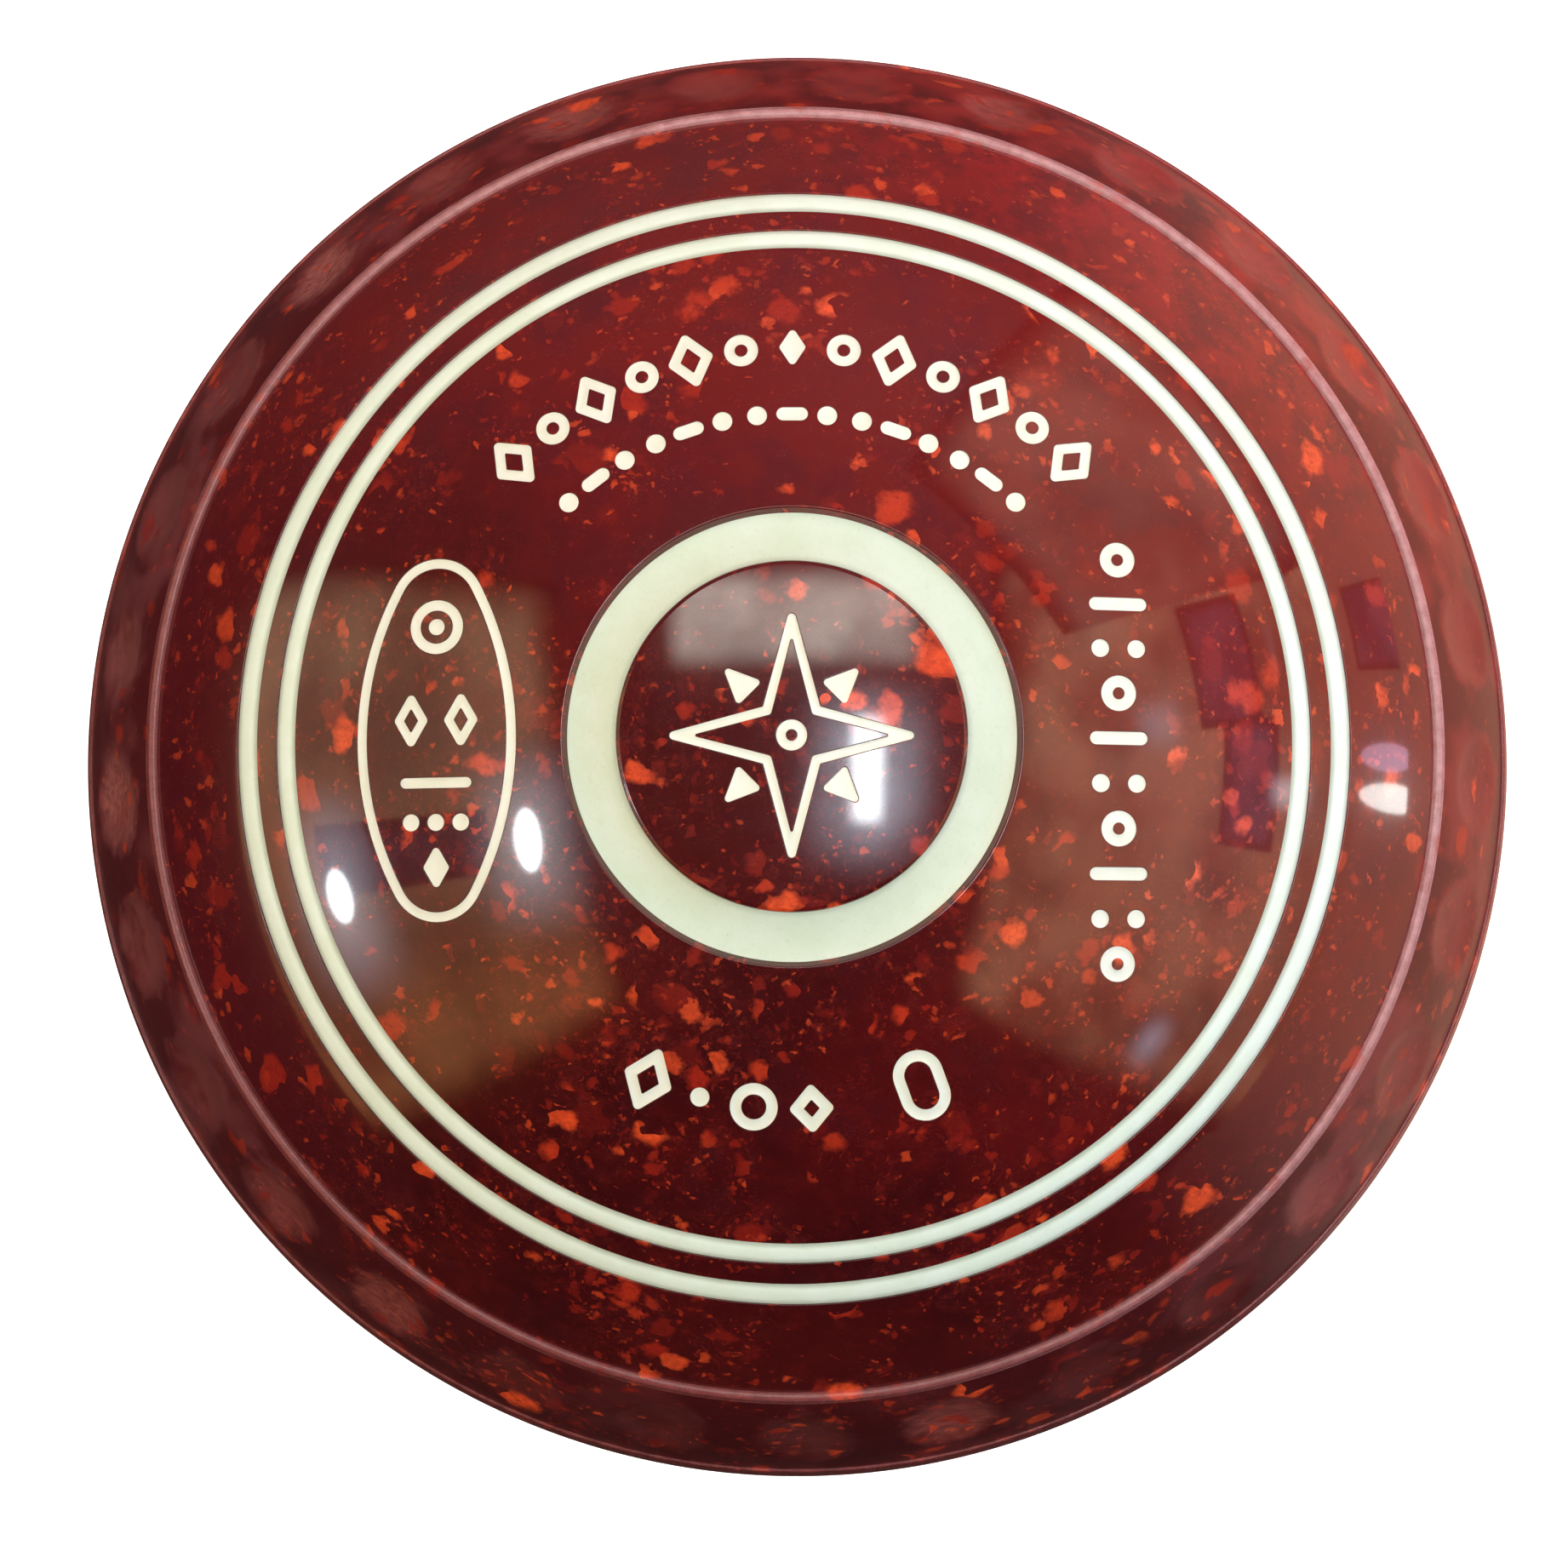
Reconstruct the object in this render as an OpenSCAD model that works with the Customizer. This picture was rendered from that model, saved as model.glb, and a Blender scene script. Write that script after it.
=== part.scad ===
// Lawn bowl, size 0, lying on its bias side. +Z is the bowl's own axis of
// symmetry, towards the side with the large line rings; z = 0 is the narrow
// flat rim round the small bias-side disc. +Y is "up" for the engraved work.
// A dark core ball is moulded first and a speckled outer shell is moulded
// round it; the shell is then turned, engraved and filled with cream.

/* [Body] */
// Diameter over the running surface (size 0 is 4 9/16 in)
bowl_d = 116; // [112:1:122]
// Height of the large-ring side above the running line
face_h = 50; // [49:0.5:52]
// Height the bias side would have below the running line if it ran to a pole
bias_pole_h = 52; // [51:0.5:54]
// Radius of the crown across the running surface, large-ring half
crown_face_r = 50; // [46:1:56]
// Radius of the crown across the running surface, bias half (the difference gives the bias)
crown_bias_r = 54; // [50:1:58]
// Half width of the smooth running surface
run_half_w = 10.8; // [9:0.2:11.4]
// Step from the running surface down to the grip band
run_step = 0.25; // [0.1:0.05:0.4]
// Diameter of the dark core ball
core_d = 84; // [70:1:88]

/* [Grip band and lip] */
// Radius of the polished face where it meets the lip
lip_r = 49.35; // [48.6:0.05:49.8]
// Height of that circle above the running line
lip_z = 25.6; // [25:0.1:26.2]
// Radius of the rounded lip between face and grip band
lip_bead_r = 0.42; // [0.3:0.02:0.5]
// Grip dimples round each side
dimple_count = 29; // [24:1:30]
// Width of one dimple round the band
dimple_w = 7.2; // [6:0.2:8]
// Length added to the dimple across the band
dimple_stretch = 2.8; // [1:0.2:3.4]
// Depth of one dimple
dimple_depth = 0.6; // [0.4:0.05:0.8]
// Where the first dimple lies round the bowl, in degrees
dimple_turn = 10; // [0:0.5:12]

/* [Line rings and centre ring] */
// Outer line ring, inner radius
line1_in_r = 40.45; // [40:0.05:40.8]
// Outer line ring, outer radius
line1_out_r = 42.1; // [41.6:0.05:42.6]
// Inner line ring, inner radius
line2_in_r = 37.3; // [37:0.05:37.6]
// Inner line ring, outer radius
line2_out_r = 38.85; // [38.5:0.05:39.3]
// Centre ring groove, inner radius
disc_in_r = 12.8; // [12.4:0.05:13]
// Centre ring groove, outer radius
disc_out_r = 16.75; // [16.4:0.05:17]
// Depth of the centre ring groove
disc_groove_d = 1.9; // [1.4:0.1:2.2]
// Depth of the engraved grooves below the surface
engrave_d = 0.7; // [0.5:0.05:0.9]
// How far the filled surface lies below the polished surface
fill_sink = 0.08; // [0.04:0.02:0.14]

/* [Ornament] */
// Stroke of the light engraved work
stroke = 0.76; // [0.6:0.02:0.9]
// Radius of the compass star on the centre disc
star_r = 9.7; // [8.6:0.1:10.4]
// Radius of the upper row of lozenges
row1_r = 29.1; // [28.6:0.1:29.4]
// Radius of the upper row of dots and dashes
row2_r = 23.85; // [23.4:0.05:24.2]
// Radius of the bottom row of open shapes
row3_r = 27.1; // [26.6:0.1:27.6]

/* [Bias side] */
// Outer radius of the flat rim that the bowl rests on
rest_out_r = 18.4; // [18:0.1:19.2]
// Outer radius of the bias-side line ring
bias_line_r = 31.5; // [28:0.5:34]
// Width of the bias-side line ring
bias_line_w = 1.5; // [1:0.1:2]

/* [Hidden] */
$fn = 96;
R = bowl_d / 2;

// Sphere that a polished side is turned to: through the pole and the lip.
function cap_r(h, r, z) = (r * r + (h - z) * (h - z)) / (2 * (h - z));
face_R = cap_r(face_h, lip_r, lip_z);
face_c = face_h - face_R;
bias_R = cap_r(bias_pole_h, lip_r, lip_z);
bias_c = bias_pole_h - bias_R;

// Height of a turned side over a radius, measured from the running line.
function cap_z(c, rr, r) = c + sqrt(rr * rr - r * r);

// Rest plane: where the bias side reaches the outer radius of the flat rim.
bias_h = cap_z(bias_c, bias_R, rest_out_r);
eq_z = bias_h;

// Bias-side centre disc: bottom of its dome stays just above the rest plane.
bias_dome_gap = 0.35;
bias_dome_R = 88;

resin = [0.30, 0.06, 0.06];
core_resin = [0.10, 0.07, 0.07];
cream = [0.90, 0.90, 0.80];

// ---------------------------------------------------------------- body

// Height of the band sphere's centre, by bisection: the band passes through
// its lower edge and over the lip bead.
function band_gap(z, er, ez, b, beadr) =
    norm([er, ez - z]) - norm([b[0], b[1] - z]) - beadr;
function band_z(er, ez, b, beadr, lo, hi, n) =
    n == 0 ? (lo + hi) / 2 :
    let (m = (lo + hi) / 2)
    (band_gap(lo, er, ez, b, beadr) > 0) == (band_gap(m, er, ez, b, beadr) > 0)
        ? band_z(er, ez, b, beadr, m, hi, n - 1)
        : band_z(er, ez, b, beadr, lo, m, n - 1);

// Numbers of one side: [radius at the lower edge of the band, lip bead
// centre, height of the band sphere's centre, radius of the band sphere].
function side(c, rr, k) =
    let (run_r = R - k + sqrt(k * k - run_half_w * run_half_w) - run_step,
         n = [lip_r, lip_z - c] / rr,
         bead = [lip_r, lip_z] + 0.37 * [n[1], -n[0]] + 0.05 * n,
         bz = band_z(run_r, run_half_w, bead, lip_bead_r - 0.03, -8, 8, 40))
    [run_r, bead, bz, norm([run_r, run_half_w - bz])];

// Crown of the running surface from the running line to one edge.
function crown_pts(k, s, n) =
    [for (i = [0 : n]) let (z = run_half_w * i / n)
        [R - k + sqrt(k * k - z * z), s * z]];

module running() {
    a = crown_pts(crown_face_r, 1, 14);
    b = crown_pts(crown_bias_r, -1, 14);
    rotate_extrude($fn = 256)
        polygon(concat([[0, -run_half_w]], [for (i = [14 : -1 : 1]) b[i]], a,
                       [[0, run_half_w]]));
}

// One side of the bowl beyond the running surface: grip band, lip bead and
// polished cap. c, rr: centre and radius of the cap; k: crown radius.
module half_body(c, rr, k) {
    s = side(c, rr, k);
    bead = s[1];
    bz = s[2];
    br = s[3];
    zt = bz + br * (bead[1] - bz) / norm([bead[0], bead[1] - bz]);
    intersection() {
        translate([0, 0, bz]) sphere(br, $fn = 256);
        translate([0, 0, run_half_w]) cylinder(h = zt - run_half_w, r = R, $fn = 256);
    }
    rotate_extrude($fn = 256) translate(bead) circle(lip_bead_r, $fn = 48);
    intersection() {
        translate([0, 0, c]) sphere(rr, $fn = 256);
        translate([0, 0, run_half_w - 2]) cylinder(h = 60, r = lip_r + 0.15, $fn = 256);
    }
}

module body() {
    difference() {
        union() {
            running();
            half_body(face_c, face_R, crown_face_r);
            mirror([0, 0, 1]) half_body(bias_c, bias_R, crown_bias_r);
        }
        // flat rim that the bowl rests on
        translate([0, 0, -bias_h - 20]) cylinder(h = 20, r = 40, $fn = 256);
    }
}

// Groove profile of a turned line, with walls square to the polished cap.
module line_profile(c, rr, r1, r2, depth, top) {
    a1 = asin(r1 / rr);
    a2 = asin(r2 / rr);
    translate([0, c]) difference() {
        intersection() {
            circle(rr + top, $fn = 256);
            polygon([[0, 0], 2 * rr * [sin(a1), cos(a1)], 2 * rr * [sin(a2), cos(a2)]]);
        }
        circle(rr - depth, $fn = 256);
    }
}

// Centre of the circle of radius q through p1 and p2, on their upper side.
function above(p1, p2, q) =
    let (d = p2 - p1, l = norm(d))
    (p1 + p2) / 2 + sqrt(q * q - l * l / 4) * [-d[1], d[0]] / l;

// Centre ring groove: sloping walls and a nearly flat floor. lift > 0 opens
// it above the surface for cutting.
module disc_groove_profile(c, rr, lift) {
    zi = cap_z(c, rr, disc_in_r);
    zo = cap_z(c, rr, disc_out_r);
    polygon([[disc_in_r - (lift > 0 ? 0.3 : 0), zi + lift],
             [disc_in_r, zi - 0.2], [disc_in_r + 0.3, zi - disc_groove_d],
             [disc_out_r - 0.75, zo - disc_groove_d + 0.2],
             [disc_out_r - 0.4, zo - 0.55], [disc_out_r, zo],
             [disc_out_r + (lift > 0 ? 0.25 : 0), zo + lift]]);
}

// Cream in the centre ring groove, with a hollowed surface.
module disc_fill_profile(c, rr) {
    zi = cap_z(c, rr, disc_in_r);
    zo = cap_z(c, rr, disc_out_r);
    difference() {
        disc_groove_profile(c, rr, 0);
        translate(above([disc_in_r + 0.03, zi - 0.38], [disc_out_r - 0.38, zo - 0.5], 8))
            circle(8, $fn = 256);
    }
}

// --------------------------------------------------------------- ornament

// Four-centred oval, half width a, half height b, end radius e.
module oval(a, b, e) {
    k = (b - e) * (b - e);
    big = (a * a + k - e * e) / (2 * (a - e));
    t = (b - e) * big / (big - e);
    intersection() {
        translate([a - big, 0]) circle(big, $fn = 192);
        translate([big - a, 0]) circle(big, $fn = 192);
        translate([-a - 1, -t]) square([2 * a + 2, 2 * t]);
    }
    for (s = [-1, 1]) translate([0, s * (b - e)]) circle(e, $fn = 64);
}

module oval_line(a, b, e, w) {
    difference() {
        oval(a, b, e);
        oval(a - w, b - w, e - w);
    }
}

module ring2(r, w) {
    difference() {
        circle(r, $fn = 64);
        circle(r - w, $fn = 64);
    }
}

// Round-ended bar of length l and width w along x.
module bar(l, w) {
    square([l - w, w], center = true);
    for (s = [-1, 1]) translate([s * (l - w) / 2, 0]) circle(w / 2, $fn = 32);
}

// Upright round-ended slot, half width a, half height b.
module slot2(a, b) {
    square([2 * a, 2 * (b - a)], center = true);
    for (s = [-1, 1]) translate([0, s * (b - a)]) circle(a, $fn = 48);
}

// Open lozenge of half width a and half height b, line width w.
module lozenge(a, b, w) {
    g = w * norm([a, b]);
    difference() {
        polygon([[a, 0], [0, b], [-a, 0], [0, -b]]);
        polygon([[a - g / b, 0], [0, b - g / a], [-a + g / b, 0], [0, -b + g / a]]);
    }
}

module solid_lozenge(a, b) {
    polygon([[a, 0], [0, b], [-a, 0], [0, -b]]);
}

// Compass star: n long points with short points between them, as an outline.
function star_pts(n, r1, r2) =
    [for (i = [0 : 2 * n - 1])
        let (a = 90 + i * 180 / n, r = i % 2 == 0 ? r1 : r2)
        [r * cos(a), r * sin(a)]];

module compass_star(r, w) {
    difference() {
        polygon(star_pts(4, r, 0.30 * r));
        polygon(star_pts(4, r - 3.1 * w, 0.30 * r - 1.02 * w));
    }
    // short points between the long ones
    for (i = [0 : 3]) rotate(45 + 90 * i)
        translate([0.56 * r, 0]) rotate(-90) difference() {
            polygon([[-0.13 * r, -0.12 * r], [0.13 * r, -0.12 * r], [0, 0.17 * r]]);
        }
    ring2(0.115 * r, w * 0.9);
}

// Places children round an arc: angle from straight up, clockwise.
module on_arc(r, a) {
    rotate(-a) translate([0, r]) children();
}

module upper_lozenge_shape() {
    for (i = [0 : 12]) {
        a = -45 + 7.5 * i;
        on_arc(row1_r, a)
            if (i == 6) solid_lozenge(1.0, 1.6);
            else if (i % 2 == 0) lozenge(1.75, 2.3, stroke);
            else ring2(1.25, stroke);
    }
}

module upper_dot_shape() {
    for (i = [0 : 14]) {
        a = -43.4 + 6.2 * i;
        on_arc(row2_r, a)
            if (i % 3 == 1) bar(2.3, 1.0);
            else circle(0.72, $fn = 32);
    }
}

module side_cartouche_shape() {
    translate([-26.2, 0]) {
        oval_line(6.05, 13.4, 3.6, stroke * 0.92);
        translate([0, 8.3]) ring2(2.0, stroke);
        translate([0, 8.3]) circle(0.6, $fn = 32);
        for (s = [-1, 1]) translate([s * 1.9, 1.4]) lozenge(1.3, 2.2, stroke * 0.85);
        translate([0, -3.2]) bar(5.4, stroke);
        for (s = [-1, 0, 1]) translate([s * 1.9, -6.1]) circle(0.62, $fn = 32);
        translate([0, -9.4]) solid_lozenge(1.0, 1.7);
    }
}

module side_tick_shape() {
    for (i = [0 : 9])
        translate([23.9, 13.2 - 3.3 * i])
            if (i % 3 == 0) ring2(1.3, 0.85);
            else if (i % 3 == 1) bar(4.3, 0.95);
            else { translate([-1.35, 0]) circle(0.66, $fn = 32); translate([1.35, 0]) circle(0.66, $fn = 32); }
}

module bottom_shape_shape() {
    on_arc(row3_r, 203) rotate(180) lozenge(1.9, 2.6, 0.82);
    on_arc(row3_r, 194.5) rotate(180) circle(0.7, $fn = 32);
    on_arc(row3_r, 186) rotate(180) ring2(1.75, 0.82);
    on_arc(row3_r, 177) rotate(180) lozenge(1.7, 1.9, 0.82);
    on_arc(row3_r, 159.5) rotate(180) difference() { slot2(1.85, 2.65); slot2(1.03, 1.83); }
}

// Solid under the polished cap, from `low` to `high` below it, in the plan
// of the children. up = 1 for the large-ring side, -1 for the bias side.
module cap_prism(c, rr, low, high) {
    translate([0, 0, c]) difference() {
        intersection() {
            linear_extrude(height = 90) children();
            sphere(rr - high, $fn = 256);
        }
        sphere(rr - low, $fn = 256);
    }
}

module face_work() {
    upper_lozenge_shape();
    upper_dot_shape();
    side_cartouche_shape();
    side_tick_shape();
    bottom_shape_shape();
    compass_star(star_r, stroke);
}

module bias_star_shape() { compass_star(8.6, stroke); }

// Grip dimples on one side: three close sphere cuts make one oval dimple.
module dimples(c, rr, k, turn) {
    s = side(c, rr, k);
    bz = s[2];
    br = s[3];
    a = dimple_w / 2;
    sc = dimple_depth - br + sqrt(br * br - a * a);
    rho = (a * a + sc * sc) / (2 * sc);
    mid_a = (asin((run_half_w - bz) / br) + atan2(s[1][1] - bz, s[1][0])) / 2;
    half_a = dimple_stretch / 2 / br * 180 / PI;
    translate([0, 0, bz])
        for (i = [0 : dimple_count - 1]) rotate(turn + i * 360 / dimple_count)
            for (s = [-1, 0, 1]) rotate([0, -(mid_a + s * half_a), 0])
                translate([br + rho - dimple_depth, 0, 0]) sphere(rho, $fn = 96);
}

// ------------------------------------------------------------------ pieces

module core() {
    color(core_resin) translate([0, 0, eq_z]) sphere(core_d / 2, $fn = 192);
}

module outer_shell() {
    color(resin) translate([0, 0, eq_z]) difference() {
        body();
        sphere(core_d / 2, $fn = 192);
        // large-ring side
        rotate_extrude($fn = 256) line_profile(face_c, face_R, line1_in_r, line1_out_r, engrave_d, 1);
        rotate_extrude($fn = 256) line_profile(face_c, face_R, line2_in_r, line2_out_r, engrave_d, 1);
        rotate_extrude($fn = 256) disc_groove_profile(face_c, face_R, 1);
        cap_prism(face_c, face_R, engrave_d, -1) face_work();
        dimples(face_c, face_R, crown_face_r, dimple_turn);
        // bias side
        mirror([0, 0, 1]) {
            rotate_extrude($fn = 256) line_profile(bias_c, bias_R, bias_line_r - bias_line_w, bias_line_r, engrave_d, 1);
            bias_disc_cut();
            dimples(bias_c, bias_R, crown_bias_r, dimple_turn);
        }
    }
}

// Bias-side centre: a low dome just inside the rest plane, ringed by a groove.
module bias_disc_cut() {
    zd = bias_h - bias_dome_gap;
    difference() {
        rotate_extrude($fn = 256) polygon([[0, zd - 2.6], [disc_out_r - 0.5, zd - 2.6],
            [disc_out_r - 0.3, bias_h - 0.5], [disc_out_r, bias_h], [disc_out_r, bias_h + 2], [0, bias_h + 2]]);
        difference() {
            intersection() {
                translate([0, 0, zd - bias_dome_R]) sphere(bias_dome_R, $fn = 256);
                translate([0, 0, zd - 4]) cylinder(h = 6, r = disc_in_r, $fn = 256);
            }
            translate([0, 0, zd - bias_dome_R]) difference() {
                linear_extrude(height = 120) bias_star_shape();
                sphere(bias_dome_R - engrave_d, $fn = 256);
            }
        }
    }
}

module outer_line_ring() {
    color(cream) translate([0, 0, eq_z]) rotate_extrude($fn = 256)
        line_profile(face_c, face_R, line1_in_r, line1_out_r, engrave_d, -fill_sink);
}

module inner_line_ring() {
    color(cream) translate([0, 0, eq_z]) rotate_extrude($fn = 256)
        line_profile(face_c, face_R, line2_in_r, line2_out_r, engrave_d, -fill_sink);
}

module centre_ring() {
    color(cream) translate([0, 0, eq_z]) rotate_extrude($fn = 256)
        disc_fill_profile(face_c, face_R);
}

module face_inlay() {
    color(cream) translate([0, 0, eq_z])
        cap_prism(face_c, face_R, engrave_d, fill_sink) children();
}

module centre_emblem() { face_inlay() compass_star(star_r, stroke); }
module upper_lozenge_row() { face_inlay() upper_lozenge_shape(); }
module upper_dot_row() { face_inlay() upper_dot_shape(); }
module side_cartouche() { face_inlay() side_cartouche_shape(); }
module side_tick_column() { face_inlay() side_tick_shape(); }
module bottom_shape_row() { face_inlay() bottom_shape_shape(); }

module bias_line_ring() {
    color(cream) translate([0, 0, eq_z]) mirror([0, 0, 1]) rotate_extrude($fn = 256)
        line_profile(bias_c, bias_R, bias_line_r - bias_line_w, bias_line_r, engrave_d, -fill_sink);
}

module bias_centre_ring() {
    zd = bias_h - bias_dome_gap;
    color(cream) translate([0, 0, eq_z]) mirror([0, 0, 1]) rotate_extrude($fn = 256)
        difference() {
            polygon([[disc_in_r, zd - 2.6], [disc_out_r - 0.5, zd - 2.6],
                     [disc_out_r - 0.3, bias_h - 0.5], [disc_in_r, bias_h - 0.5]]);
            translate(above([disc_in_r, zd - 1.1], [disc_out_r - 0.35, zd - 0.9], 8))
                circle(8, $fn = 256);
        }
}

module bias_emblem() {
    zd = bias_h - bias_dome_gap;
    color(cream) translate([0, 0, eq_z]) mirror([0, 0, 1]) translate([0, 0, zd - bias_dome_R])
        difference() {
            intersection() {
                linear_extrude(height = 120) bias_star_shape();
                sphere(bias_dome_R - fill_sink, $fn = 256);
            }
            sphere(bias_dome_R - engrave_d, $fn = 256);
        }
}

core();
outer_shell();
outer_line_ring();
inner_line_ring();
centre_ring();
centre_emblem();
upper_lozenge_row();
upper_dot_row();
side_cartouche();
side_tick_column();
bottom_shape_row();
bias_line_ring();
bias_centre_ring();
bias_emblem();
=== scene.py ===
import math

import bpy
import numpy as np
from mathutils import Matrix, Vector
from mathutils.geometry import delaunay_2d_cdt


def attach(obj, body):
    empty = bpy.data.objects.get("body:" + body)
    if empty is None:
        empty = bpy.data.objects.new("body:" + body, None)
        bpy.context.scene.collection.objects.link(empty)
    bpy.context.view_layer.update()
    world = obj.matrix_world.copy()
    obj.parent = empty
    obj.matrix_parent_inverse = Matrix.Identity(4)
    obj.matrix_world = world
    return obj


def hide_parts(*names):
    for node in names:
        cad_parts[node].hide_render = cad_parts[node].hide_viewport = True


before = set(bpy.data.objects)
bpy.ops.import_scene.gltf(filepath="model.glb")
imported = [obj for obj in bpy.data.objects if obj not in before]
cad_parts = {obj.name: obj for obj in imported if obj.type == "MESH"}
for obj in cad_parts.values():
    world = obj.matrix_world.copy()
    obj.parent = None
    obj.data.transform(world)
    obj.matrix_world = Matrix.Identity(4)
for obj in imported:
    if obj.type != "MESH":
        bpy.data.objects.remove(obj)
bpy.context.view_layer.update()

MM = 0.001
N = 696                      # segments round the bowl, a multiple of the dimple count

# ---------------------------------------------------------------- dimensions
R = 58.0
FACE_H, BIAS_POLE_H = 50.0, 52.0
CROWN_FACE, CROWN_BIAS = 50.0, 54.0
RUN_HW, RUN_STEP = 10.8, 0.25
LIP_R, LIP_Z, BEAD_R = 49.35, 25.6, 0.42
DIMPLES, DIMPLE_W, DIMPLE_STRETCH, DIMPLE_D, DIMPLE_TURN = 29, 7.2, 2.8, 0.6, 10.0
L1A, L1B = 40.45, 42.1
L2A, L2B = 37.3, 38.85
DISC_IN, DISC_OUT, DISC_D = 12.8, 16.75, 1.9
ENG, SINK, STROKE = 0.7, 0.08, 0.76
REST_OUT, BIAS_LINE_R, BIAS_LINE_W = 18.4, 31.5, 1.5
BIAS_DOME_GAP, BIAS_DOME_R = 0.35, 88.0
EDGE = 0.07                  # rounding of every cut edge


def cap_r(h, r, z):
    return (r * r + (h - z) ** 2) / (2 * (h - z))


FR = cap_r(FACE_H, LIP_R, LIP_Z)
FC = FACE_H - FR
BR = cap_r(BIAS_POLE_H, LIP_R, LIP_Z)
BC = BIAS_POLE_H - BR
BIAS_H = BC + math.sqrt(BR * BR - REST_OUT ** 2)
EQ = BIAS_H


def side(c, rr, k):
    run_r = R - k + math.sqrt(k * k - RUN_HW ** 2) - RUN_STEP
    n = np.array([LIP_R, LIP_Z - c]) / rr
    bead = np.array([LIP_R, LIP_Z]) + 0.37 * np.array([n[1], -n[0]]) + 0.05 * n

    def gap(z):
        return math.hypot(run_r, RUN_HW - z) - math.hypot(bead[0], bead[1] - z) - (BEAD_R - 0.03)
    lo, hi = -8.0, 8.0
    slo = gap(lo) > 0
    for _ in range(60):
        m = (lo + hi) / 2
        if (gap(m) > 0) == slo:
            lo = m
        else:
            hi = m
    bz = (lo + hi) / 2
    return run_r, bead, bz, math.hypot(run_r, RUN_HW - bz)


# ------------------------------------------------------------------- profiles
class Profile:
    """Rows of (r, z, normal r, normal z, material, band sphere or None)."""

    def __init__(self):
        self.rows = []

    def add(self, r, z, nr, nz, mat=0, dim=0):
        l = math.hypot(nr, nz)
        self.rows.append((r, z, nr / l, nz / l, mat, dim))

    def cap(self, c, rr, radii, mat=0):
        for r in radii:
            z = c + math.sqrt(rr * rr - r * r)
            self.add(r, z, r, z - c, mat)

    def arc(self, cx, cz, rad, a0, a1, n, mat=0, flip=1, skip=0):
        """Angles from straight up, clockwise, in degrees."""
        for i in range(skip, n + 1):
            a = math.radians(a0 + (a1 - a0) * i / n)
            s, c = math.sin(a), math.cos(a)
            self.add(cx + rad * s, cz + rad * c, flip * s, flip * c, mat)

    def line(self, p0, p1, nrm, n=1, mat=0):
        for i in range(n + 1):
            t = i / n
            self.add(p0[0] + (p1[0] - p0[0]) * t, p0[1] + (p1[1] - p0[1]) * t, nrm[0], nrm[1], mat)


def ramp(a, b, step):
    n = max(1, int(math.ceil(abs(b - a) / step)))
    return [a + (b - a) * i / n for i in range(n + 1)]


def turned_line(p, c, rr, r1, r2):
    """A turned groove with walls square to the cap and rounded edges."""
    e = EDGE
    for a, s in ((math.asin(r1 / rr), 1), (math.asin(r2 / rr), -1)):
        ac = a - s * e / rr
        n = np.array([math.sin(ac), math.cos(ac)])
        t = np.array([math.cos(ac), -math.sin(ac)]) * s
        cen = np.array([0, c]) + (rr - e) * n
        ts = [0, 22, 45, 68, 90]
        fil = [(cen + e * (math.cos(math.radians(k)) * n + math.sin(math.radians(k)) * t),
                math.cos(math.radians(k)) * n + math.sin(math.radians(k)) * t) for k in ts]
        na = np.array([math.sin(a), math.cos(a)])
        wall = [(np.array([0, c]) + q * na, t) for q in (rr - 0.3, rr - ENG)]
        seq = fil + wall if s > 0 else wall[::-1] + fil[::-1]
        for q, nn in seq:
            p.add(q[0], q[1], nn[0], nn[1], 0)


def circle_hit(c0, r0, c1, r1, pick):
    """Intersection of two circles; pick chooses the solution."""
    d = math.hypot(c1[0] - c0[0], c1[1] - c0[1])
    a = (d * d + r0 * r0 - r1 * r1) / (2 * d)
    h = math.sqrt(max(0.0, r0 * r0 - a * a))
    ex = np.array([(c1[0] - c0[0]) / d, (c1[1] - c0[1]) / d])
    ey = np.array([-ex[1], ex[0]])
    pts = [np.array(c0) + a * ex + s * h * ey for s in (1, -1)]
    return max(pts, key=pick)


def up_angle(v):
    return math.degrees(math.atan2(v[0], v[1]))


BAND_ROWS = {}


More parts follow.
